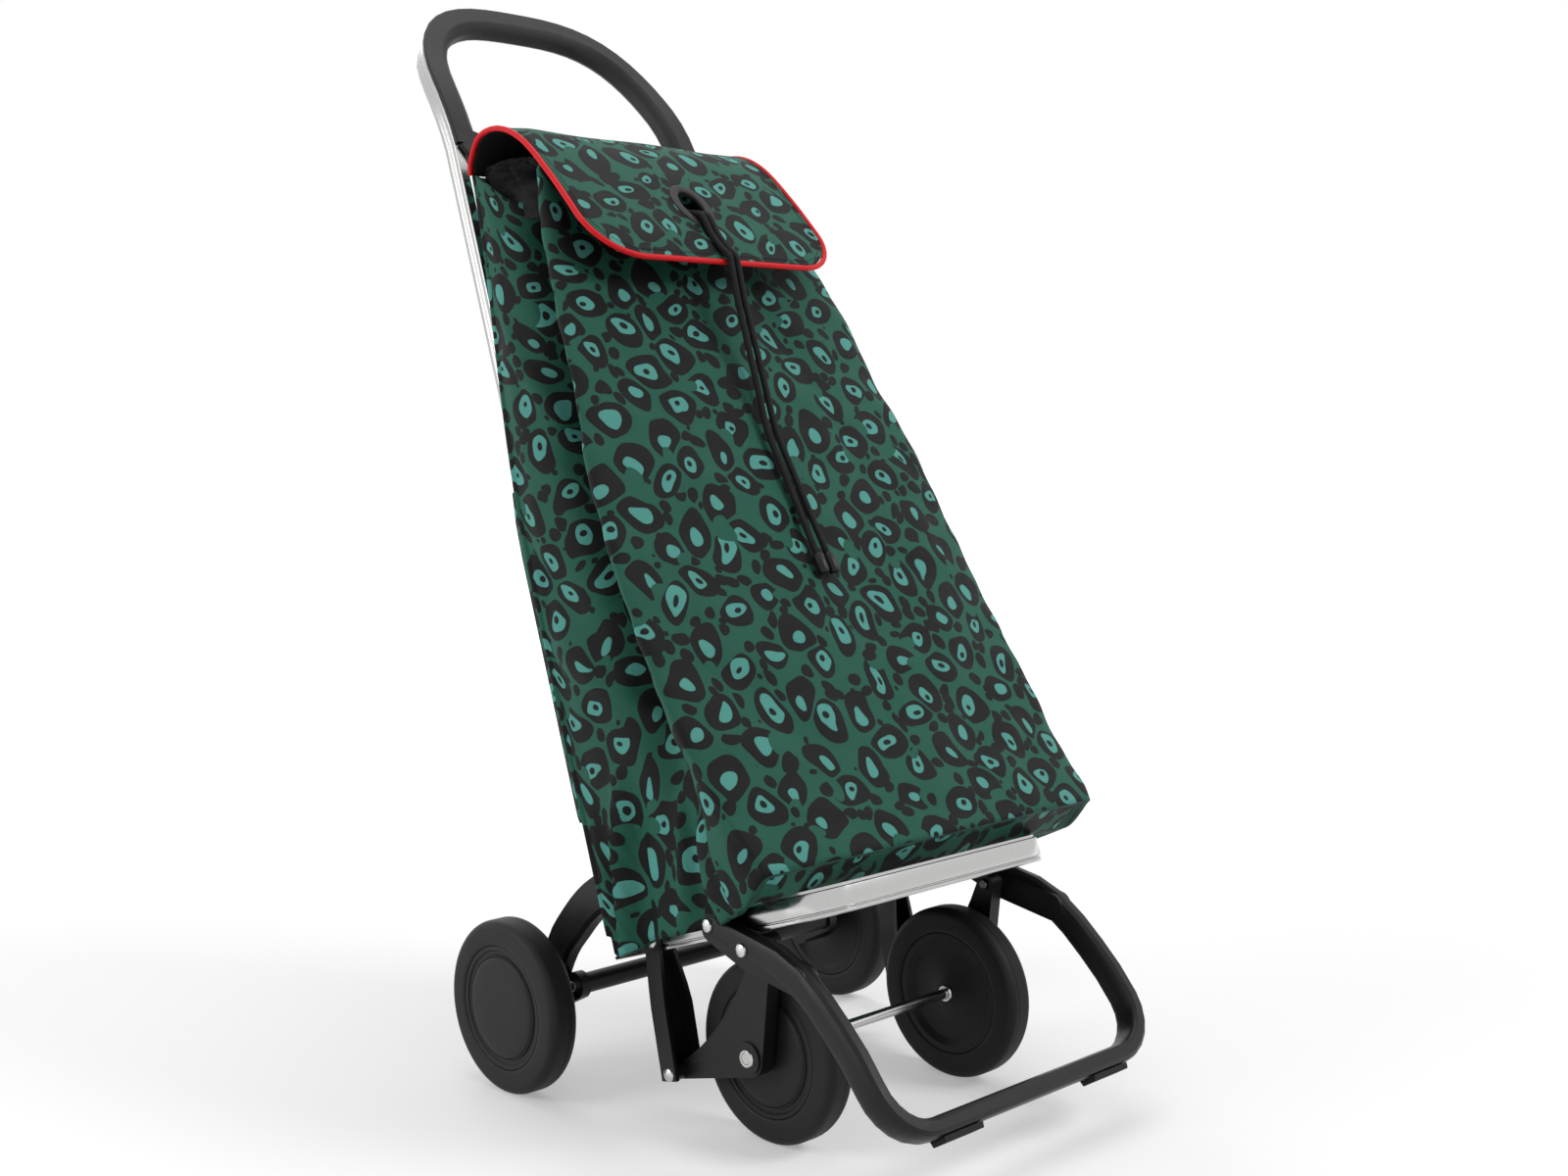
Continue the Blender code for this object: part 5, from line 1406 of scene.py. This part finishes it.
@dataclass
class Flap:
    """Flap over the mouth with red piping, a stitched edge, a lining and an oval eyelet."""

    bag: Bag
    finishes: Finishes
    width: float = 0.305
    wall: float = 0.0025
    corner: float = 0.050
    fold: float = 0.046
    seat: float = 0.0003
    bead: float = 0.0055
    eyelet_along: float = 0.200
    hump: float = 0.029
    drop: float = 0.146
    reach: float = 0.164
    eyelet_length: float = 0.062
    eyelet_width: float = 0.046
    eyelet_rim: float = 0.0100
    eyelet_thickness: float = 0.0045
    hole_in: float = 0.0035
    bend: float = 0.014
    stitch_in: float = 0.0055
    stitch_pitch: float = 0.0040
    stitch: tuple[float, float, float] = (0.0028, 0.0008, 0.0008)

    def __post_init__(self) -> None:
        """Bend the sheet: up from the seam on the back, over the mouth and down the front."""
        rise = self.hump * np.array([self.seat / self.hump, 0.48, 1.0, 0.76, 0, 0, 0, 0])
        fall = self.drop * np.array([0, 0, 0, 0, 0.027, 0.342, 0.685, 1.0])
        ahead = self.reach * np.array([0, 0.040, 0.171, 0.366, 0.549, 0.720, 0.872, 1.0])
        back = self.bag.back + self.wall / 2
        spots = np.stack([self.bag.mouth_height + rise - fall, back + ahead], axis=1)
        line = curve_through(spots, 8)
        self.sheet = Sheet(evenly(self.bag.lean.place(0, line[:, 0], line[:, 1])[:, 1:], 60))

    def edge(self, inset: float, count: int = 90) -> Array:
        """Left edge of the flap as (x, along), from the seam to the end of the rounded corner.

        Args:
            inset: Distance inside the cut edge.
            count: Points along the straight side.

        Returns:
            The points.
        """
        half, r = self.width / 2 - inset, self.corner - inset
        turn = self.sheet.length - self.corner
        straight = np.linspace(0, turn, count)[:-1]
        side = np.stack([np.full_like(straight, -half), straight], axis=1)
        return np.vstack([side, arc((-half + r, turn), r, 180, 90, 24)])

    def around(self, inset: float) -> Array:
        """Whole edge as (x, along), from the left end of the seam to the right one."""
        left = self.edge(inset)
        return evenly(np.vstack([left, left[::-1] * (-1, 1)]), 420)

    def puff(self, x: Array, along: Array) -> Array:
        """Soft unevenness of the cloth to its outer side, which dies out at the edge and the eyelet."""
        rim = 1 - smoothstep(0.75, 1.0, np.abs(x) / (self.width / 2))
        near = np.hypot(x, along - self.eyelet_along)
        calm = smoothstep(0.022, 0.05, near) * smoothstep(0.0, 0.04, along) * rim
        calm = calm * (1 - smoothstep(self.sheet.length - 0.03, self.sheet.length, along))
        return -0.0012 * (1 + ripple(x, along, 0.13, 23)) * calm

    def layer(self, name: str, off: float, outer: bool) -> bpy.types.Object:
        """One layer of the flap's cloth: rows from edge to edge, with the hole for the eyelet.

        Args:
            name: Name of the piece.
            off: Offset of its face from the middle of the sheet.
            outer: Whether the face is the flap's outer one.

        Returns:
            The object.
        """
        left = self.edge(0.0)
        across = np.linspace(-1, 1, 111)[None, :]
        x = -left[:, :1] * across
        along = np.broadcast_to(left[:, 1:], x.shape)
        points = self.sheet.place(x, along, off + self.puff(x, along))
        uv = np.stack([x + 0.55, along + 0.93], axis=-1)
        mid_x = (x[:-1, :-1] + x[1:, 1:]) / 2
        mid_along = (along[:-1, :-1] + along[1:, 1:]) / 2 - self.eyelet_along
        wide = self.eyelet_width / 2 - self.hole_in
        tall = self.eyelet_length / 2 - self.hole_in
        keep = (mid_x / wide) ** 2 + (mid_along / tall) ** 2 > 1
        if outer:
            points, uv, keep = points[:, ::-1], uv[:, ::-1], keep[:, ::-1]
        return grid_piece(name, points, uv, keep=keep)

    def bend_with_lid(self, piece: bpy.types.Object) -> None:
        """Free a piece from its body and bake its place into its points; the fold's ends are worked out
        and not used.
        """
        start = self.sheet.place(0.0, self.fold - self.bend, 0.0)
        end = self.sheet.place(0.0, self.fold + self.bend, 0.0)
        piece.parent = None
        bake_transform(piece)

    def piping(self) -> bpy.types.Object:
        """Round bead along the cut edge.

        Returns:
            The object.
        """
        path = self.around(0.0)
        turn = full_turn(14)
        r = self.bead / 2
        section = np.stack([r + 2 * self.seat + r * np.cos(turn), r * np.sin(turn)], axis=1)
        rings = self.sheet.sweep(path, section)
        uv = strip_uv(1.0, len(turn), lengths_along(path))
        return grid_piece("piping_bead", rings[:, ::-1], uv, around=True)

    def stitches(self) -> bpy.types.Object:
        """Row of stitches along the edge of the outer cloth.

        Returns:
            The object.
        """
        x, along = self.around(self.stitch_in).T
        line = self.sheet.place(x, along, -self.wall / 2 - 0.0002 + self.puff(x, along))
        normals = unit(line - self.sheet.place(x, along, 0.01))
        return stitch_row("flap_stitches", line, normals, self.stitch_pitch, self.stitch)

    def build(self) -> list[bpy.types.Object]:
        """Outer cloth, lining, piping, edge stitches and eyelet.

        Returns:
            The pieces.
        """
        f = self.finishes
        cloth = self.layer("flap_cloth", -self.wall / 2, True)
        thicken(cloth, 0.0011)
        dressed(cloth, f.print_cloth, "print_cloth", "flap", "bag_flap", "flap_root")
        lining = self.layer("flap_lining", self.wall / 2, False)
        thicken(lining, 0.0009)
        dressed(lining, f.lining, "black_cloth", "flap")
        piping = dressed(self.piping(), f.piping, "red_piping", "flap", "flap_piping")
        stitches = dressed(self.stitches(), f.lining, "black_cloth", "flap")
        for piece in (cloth, lining, piping, stitches):
            self.bend_with_lid(piece)
        return [cloth, lining, piping, stitches, self.eyelet()]

    def eyelet(self) -> bpy.types.Object:
        """Ring clipped through the flap: a squared-off lip carried round an ellipse.

        Returns:
            The object.
        """
        turn = full_turn(96)
        oval = [np.cos(turn) * self.eyelet_width / 2, np.sin(turn) * self.eyelet_length / 2]
        path = np.stack(oval, axis=1) + (0.0, self.eyelet_along)
        wide, half = self.eyelet_rim, self.eyelet_thickness / 2
        lip = full_turn(20)
        c, s = np.cos(lip), np.sin(lip)
        across = wide / 2 + squared_off(c, 0.7) * wide / 2
        tall = squared_off(s, 0.45) * half * np.where(s < 0, 1.4, 1.0)
        rings = self.sheet.sweep(path, np.stack([across, tall], axis=1), closed=True)
        uv = np.zeros((len(turn) + 1, len(lip) + 1, 2))
        ring = grid_piece("eyelet_ring", rings[:, ::-1], uv, around=True, closed=True)
        return dressed(ring, self.finishes.grip, "black_moulding", "flap", "flap_eyelet")


@dataclass
class Drawcords:
    """Two braided cord ends that come out of the eyelet and hang down the front."""

    bag: Bag
    flap: Flap
    finishes: Finishes
    diameter: float = 0.0065
    end: float = 0.312
    seat: float = 0.0003
    sides: int = 24

    def route(self, side: Side) -> Array:
        """Points of one cord end: up from the collar, through the eyelet and down the front.

        Args:
            side: Which of the two ends.

        Returns:
            Points of its middle line.
        """
        flap, sheet, bag = self.flap, self.flap.sheet, self.bag
        x = side.value * (self.diameter / 2 + 3 * self.seat)
        rest = self.diameter / 2 + self.seat
        on_rim = -0.75 * flap.eyelet_thickness - rest
        on_flap = -flap.wall / 2 - rest
        on_piping = -flap.bead / 2 - 1.1 * rest
        rim = flap.eyelet_length / 2
        hole = rim - flap.eyelet_rim
        start, stop = flap.eyelet_along + rim + 0.010, sheet.length + flap.bead
        through = np.array([-hole, -0.1 * hole, 0.5 * hole, 0.95 * hole, 0.9 * rim])
        down = start + (stop - start) * np.array([0.0, 0.4, 0.8, 1.0])
        along = np.concatenate([flap.eyelet_along + through, down])
        off = [0.016, 0.009, -0.0006, on_rim, on_rim, on_flap, on_flap, on_piping, on_piping]
        lid = sheet.place(x, along, off)
        edge = bag.mouth_height - flap.drop
        outside = bag.back + flap.reach + rest + 0.4 * flap.bead
        height = np.linspace(edge - 0.045, self.end, 7)
        share = (edge - height) / (edge - self.end)
        clear = np.maximum(outside + 0.25 * self.diameter * (1 - share), bag.front(height) + 1.1 * rest)
        hang = bag.lean.place(x * (1 + 0.6 * share), height, clear)
        return evenly(curve_through(np.vstack([lid, hang]), 8), 44)

    def build(self) -> list[bpy.types.Object]:
        """A braided tube for each end, whose radius swells over its strands.

        Returns:
            The pieces.
        """
        made = []
        strands, pitch = BraidedCord.strands, BraidedCord.pitch
        for side in Side:
            fine = evenly(curve_through(self.route(side), 16), 700)
            along = lengths_along(fine)[:, None]
            turn = full_turn(self.sides)[None, :]
            wind = along * math.tau * strands / pitch
            braid = np.maximum(np.sin(strands * turn + wind), np.sin(strands * turn - wind))
            points, uv = tube_grid(fine, self.diameter / 2 * (0.95 + 0.05 * braid), self.sides)
            cord = grid_piece(f"cord_braid_{side.word}", points, uv, around=True)
            dressed(cord, self.finishes.cord, "black_cord", "chassis", f"drawcord_{side.word}")
            made.append(cord)
        return made


@dataclass
class Wheel:
    """One wheel: solid tyre with rounded shoulders and a mould line, ringed centre and a plain cap."""

    row: Row
    side: Side
    finishes: Finishes
    segments: int = 160
    shoulder: float = 0.0085
    tyre_height: float = 0.0235
    bore: float = 0.0051
    cap_lip: float = 0.0014
    sharp: float = math.radians(38)

    def node(self, part: str) -> str:
        """Name of the solid of a part of this wheel."""
        return f"{self.row.value}_{part}_{self.side.word}"

    def turn(
        self, part: str, profile: Any, closed: bool, material: bpy.types.Material, slot: str
    ) -> bpy.types.Object:
        """A profile turned about the wheel's axle.

        Args:
            part: Part of the wheel that it stands for.
            profile: Points as (x from the outer face inwards, radius), outer side first.
            closed: Whether the profile closes on itself.
            material: Its finish.
            slot: The record's slot of that finish.

        Returns:
            The object.
        """
        low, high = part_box(self.node("tyre"))
        outer = low.x if self.side is Side.LEFT else high.x
        profile = np.asarray(profile, float)
        turn = full_turn(self.segments)[:, None]
        x = np.broadcast_to(outer - self.side.value * profile[:, 0], (self.segments, len(profile)))
        y = (low.y + high.y) / 2 + profile[:, 1] * np.cos(turn)
        z = (low.z + high.z) / 2 + profile[:, 1] * np.sin(turn)
        points = np.stack([x, y, z], axis=-1)
        if self.side is Side.RIGHT:
            points = points[::-1]
        uv = np.zeros((self.segments + 1, len(profile) + closed, 2))
        name = f"{self.node(part)}_skin"
        piece = grid_piece(name, points, uv, around=closed, closed=True, weld=not closed)
        piece.data.set_sharp_from_angle(angle=self.sharp)
        return dressed(piece, material, slot, self.node("wheel"), self.node(part))

    def build(self) -> list[bpy.types.Object]:
        """Tyre, centre and cap, each from a profile with rounded corners.

        Returns:
            The pieces.
        """
        low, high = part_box(self.node("tyre"))
        r, w = (high.z - low.z) / 2, high.x - low.x
        rim = r - self.tyre_height
        near = [(0.0010, rim), (0.0002, rim + 0.0010), (0.0, rim + 0.004)]
        near += [*arc((self.shoulder, r - self.shoulder), self.shoulder, 180, 90, 12)]
        mould_line = [(w * 0.62, r), (w * 0.63, r - 0.0006), (w * 0.64, r)]
        far = [*arc((w - self.shoulder, r - self.shoulder), self.shoulder, 90, 0, 12)]
        far += [(w, rim + 0.004), (w - 0.0002, rim + 0.001), (w - 0.0010, rim)]
        f = self.finishes
        tyre = self.turn("tyre", near + mould_line + far, True, f.tyre, "black_rubber")

        low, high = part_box(self.node("cap"))
        cap, hub, bore = (high.z - low.z) / 2, rim - 0.0003, self.bore
        outer = [(0.0016, hub), (0.0009, hub - 0.0008), (0.0009, hub - 0.0040)]
        outer += [(0.0026, hub - 0.0055), (0.0026, cap + 0.0022), (0.0012, cap + 0.0016)]
        outer += [(0.0012, cap + 0.0005), (0.0040, cap + 0.0003), (0.0040, bore)]
        inner = [(w - 0.0012, bore), (w - 0.0006, 0.0085), (w - 0.0020, 0.0150)]
        inner += [(w - 0.0062, 0.0250), (w - 0.0062, hub - 0.0125), (w - 0.0030, hub - 0.0085)]
        inner += [(w - 0.0012, hub - 0.0070), (w - 0.0012, hub - 0.0008), (w - 0.0020, hub)]
        centre = self.turn("hub", outer + inner, True, f.wheel, "black_moulding")

        hole = 0.0 if self.row is Row.REAR else bore
        face = [(0.0034, hole), (0.0034, cap)]
        face += [*arc((0.0020, cap - self.cap_lip), self.cap_lip, 90, 150, 5)]
        face += [(0.0003, cap - 0.0040), (0.0, cap - 0.0080), (0.0, cap * 0.5), (0.0, hole)]
        lid = self.turn("cap", face[::-1], False, f.wheel, "black_moulding")
        lid.data.flip_normals()
        return [tyre, centre, lid]


@dataclass
class HardParts:
    """Metal and moulded parts that keep the shape of their solids, with rounded edges."""

    nodes: dict[str, bpy.types.Object]
    bodies: dict[str, list[str]]
    finishes: Finishes
    sharp: float = math.radians(33)

    def finish_of(self, node: str) -> tuple[bpy.types.Material, str, float]:
        """Finish, slot and edge rounding of a node.

        Args:
            node: Name of the node.

        Returns:
            Material, the record's slot and the radius of its edges.
        """
        f = self.finishes
        if node in ("frame_profile", "shelf_rail"):
            return f.aluminium, "polished_aluminium", 0.0004
        if node.startswith("bag_hanger"):
            return f.steel, "bright_steel", 0.0003
        if node.split("_left")[0].split("_right")[0].endswith(("rivet", "bolt", "axle", "inner", "outer")):
            return f.steel, "bright_steel", 0.0002
        if node == "handle_grip":
            return f.grip, "black_moulding", 0.0020
        if node == "bag_base_board":
            return f.board, "black_moulding", 0.0004
        if node.startswith("foot_pad"):
            return f.tyre, "black_rubber", 0.0008
        return f.moulding, "black_moulding", 0.0010

    def dress(self, node: str, body: str) -> bpy.types.Object:
        """Copy a solid, merge its loose faces, round its edges and give it its finish.

        Args:
            node: Name of the node.
            body: Body that it moves with.

        Returns:
            The piece that stands for the node.
        """
        material, slot, radius = self.finish_of(node)
        mesh = self.nodes[node].data.copy()
        mesh.materials.clear()
        shape = bmesh.new()
        shape.from_mesh(mesh)
        bmesh.ops.remove_doubles(shape, verts=shape.verts, dist=2e-6)
        flat = math.radians(0.5)
        bmesh.ops.dissolve_limit(shape, angle_limit=flat, verts=shape.verts, edges=shape.edges)
        shape.to_mesh(mesh)
        shape.free()
        mesh.polygons.foreach_set("use_smooth", np.ones(len(mesh.polygons), bool))
        mesh.set_sharp_from_angle(angle=self.sharp)
        piece = bpy.data.objects.new(f"{node}_skin", mesh)
        bpy.context.scene.collection.objects.link(piece)
        bevel = piece.modifiers.new("edges", "BEVEL")
        bevel.width = radius
        bevel.segments = 3
        bevel.limit_method = "ANGLE"
        bevel.angle_limit = self.sharp
        bevel.harden_normals = True
        return dressed(piece, material, slot, body, node)

    def build(self, taken: Sequence[str]) -> list[bpy.types.Object]:
        """Dress every node that no other class makes.

        Args:
            taken: Words in the names of nodes that are made elsewhere.

        Returns:
            The pieces.
        """
        made = []
        for body, nodes in self.bodies.items():
            left = [node for node in nodes if not any(word in node for word in taken)]
            made += [self.dress(node, body) for node in left]
        return made


@dataclass(frozen=True)
class Lamp:
    """A soft square lamp that looks at the middle of the trolley."""

    name: str
    spot: tuple[float, float, float]
    size: float
    power: float

    def build(self, target: Vector) -> None:
        """Hang the lamp and turn it to the target."""
        data = bpy.data.lights.new(self.name, "AREA")
        data.shape = "SQUARE"
        data.size = self.size
        data.energy = self.power
        lamp = bpy.data.objects.new(self.name, data)
        lamp.location = self.spot
        lamp.rotation_mode = "QUATERNION"
        lamp.rotation_quaternion = (target - Vector(self.spot)).to_track_quat("-Z", "Y")
        bpy.context.scene.collection.objects.link(lamp)


@dataclass
class Studio:
    """White floor and surroundings, soft lamps and the camera."""

    axle_y: float
    lens: float = 42.737
    camera_x: float = -1.2244
    camera_ahead: float = 1.4130
    camera_height: float = 0.6427
    azimuth: float = math.radians(44.02)
    pitch: float = math.radians(5.446)
    surround: float = 0.27
    floor_colour: Colour = (0.80, 0.80, 0.80)
    floor_glow: float = 0.32
    floor_half: float = 14.0

    def build(self) -> None:
        """Set the view, the floor, the world, the lamps and the camera."""
        scene = bpy.context.scene
        scene.view_settings.view_transform = "Standard"
        self.floor()
        self.world()
        target = Vector((0.0, 0.0, 0.5))
        lamps = [
            Lamp("lamp_left", (-2.6, 1.1, 1.4), 1.5, 32.0),
            Lamp("lamp_right", (1.5, -2.6, 2.6), 1.3, 52.0),
            Lamp("lamp_top", (0.2, 0.2, 3.2), 2.0, 24.0),
            Lamp("lamp_back", (0.6, 2.6, 1.9), 1.5, 16.0),
        ]
        for lamp in lamps:
            lamp.build(target)
        data = bpy.data.cameras.new("camera")
        data.sensor_width = 36.0
        data.lens = self.lens
        camera = bpy.data.objects.new("camera", data)
        camera.location = (self.camera_x, self.axle_y - self.camera_ahead, self.camera_height)
        flat = math.cos(self.pitch)
        across, ahead = math.sin(self.azimuth) * flat, math.cos(self.azimuth) * flat
        look = Vector((across, ahead, -math.sin(self.pitch)))
        camera.rotation_mode = "QUATERNION"
        camera.rotation_quaternion = look.to_track_quat("-Z", "Y")
        scene.collection.objects.link(camera)
        scene.camera = camera

    def seen(self, shade: Shade) -> Wire:
        """1 for rays from the camera, a mirror or glass, and 0 for light on the object."""
        path = shade.node("ShaderNodeLightPath", out="Is Camera Ray")
        return path.most(path.other("Is Glossy Ray")).most(path.other("Is Transmission Ray"))

    def floor(self) -> None:
        """A pale floor that keeps the shadow and is lit to white where it is seen."""
        half = self.floor_half
        corners = np.array([(-half, -half, 0), (half, -half, 0), (half, half, 0), (-half, half, 0)])
        floor = mesh_piece("floor", corners, [np.array([[0, 1, 2, 3]])])
        shade = Shade("pale_floor")
        spot = shade.place()
        far = shade.vector("LENGTH", spot, out=1).ease(0.8, 3.2)
        glow = self.seen(shade) * (self.floor_glow + (1 - self.floor_glow) * far)
        pale = shade.done(
            Base_Color=shade.mottle(shade.noise(spot, 3.0), self.floor_colour, 1.0, 1.01),
            Roughness=0.9,
            Specular_IOR_Level=0.1,
            Emission_Color=shade.mix(glow, (0.0, 0.0, 0.0), (1.0, 1.0, 1.0)),
            Emission_Strength=1.0,
        )
        floor.data.materials.append(pale)

    def world(self) -> None:
        """Even white surroundings that look white and light the object at a plain level."""
        shade = Shade("surroundings", world=True)
        strength = self.surround + (1 - self.surround) * self.seen(shade)
        bpy.context.scene.world = shade.done(Color=(1.0, 1.0, 1.0), Strength=strength)


def main() -> None:
    """Load the solids, dress every piece and light the scene."""
    logging.basicConfig(level=logging.INFO, format="%(name)s: %(message)s")
    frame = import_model()
    low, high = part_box("rear_axle_left")
    axle_y = (low.y + high.y) / 2
    finishes = Finishes()
    bag = Bag(Lean(axle_y - HEEL_AHEAD), finishes)
    flap = Flap(bag, finishes)
    bodies = frame["record"]["behaviour"]["bodies"]
    soft = ("bag_shell", "bag_flap", "flap_", "drawcord", "collar", "pocket")
    wheels = ("_tyre_", "_hub_", "_cap_")

    Studio(axle_y).build()
    pieces = HardParts(frame["nodes"], bodies, finishes).build(soft + wheels)
    pieces += bag.build()
    pieces += Collar(bag, finishes).build()
    pieces += Pocket(bag, finishes).build()
    pieces += flap.build()
    pieces += Drawcords(bag, flap, finishes).build()
    for row in Row:
        for side in Side:
            pieces += Wheel(row, side, finishes).build()
    for piece in pieces:
        LOG.info("%s: %d faces", piece.name, len(piece.data.polygons))


if __name__ == "__main__":
    main()
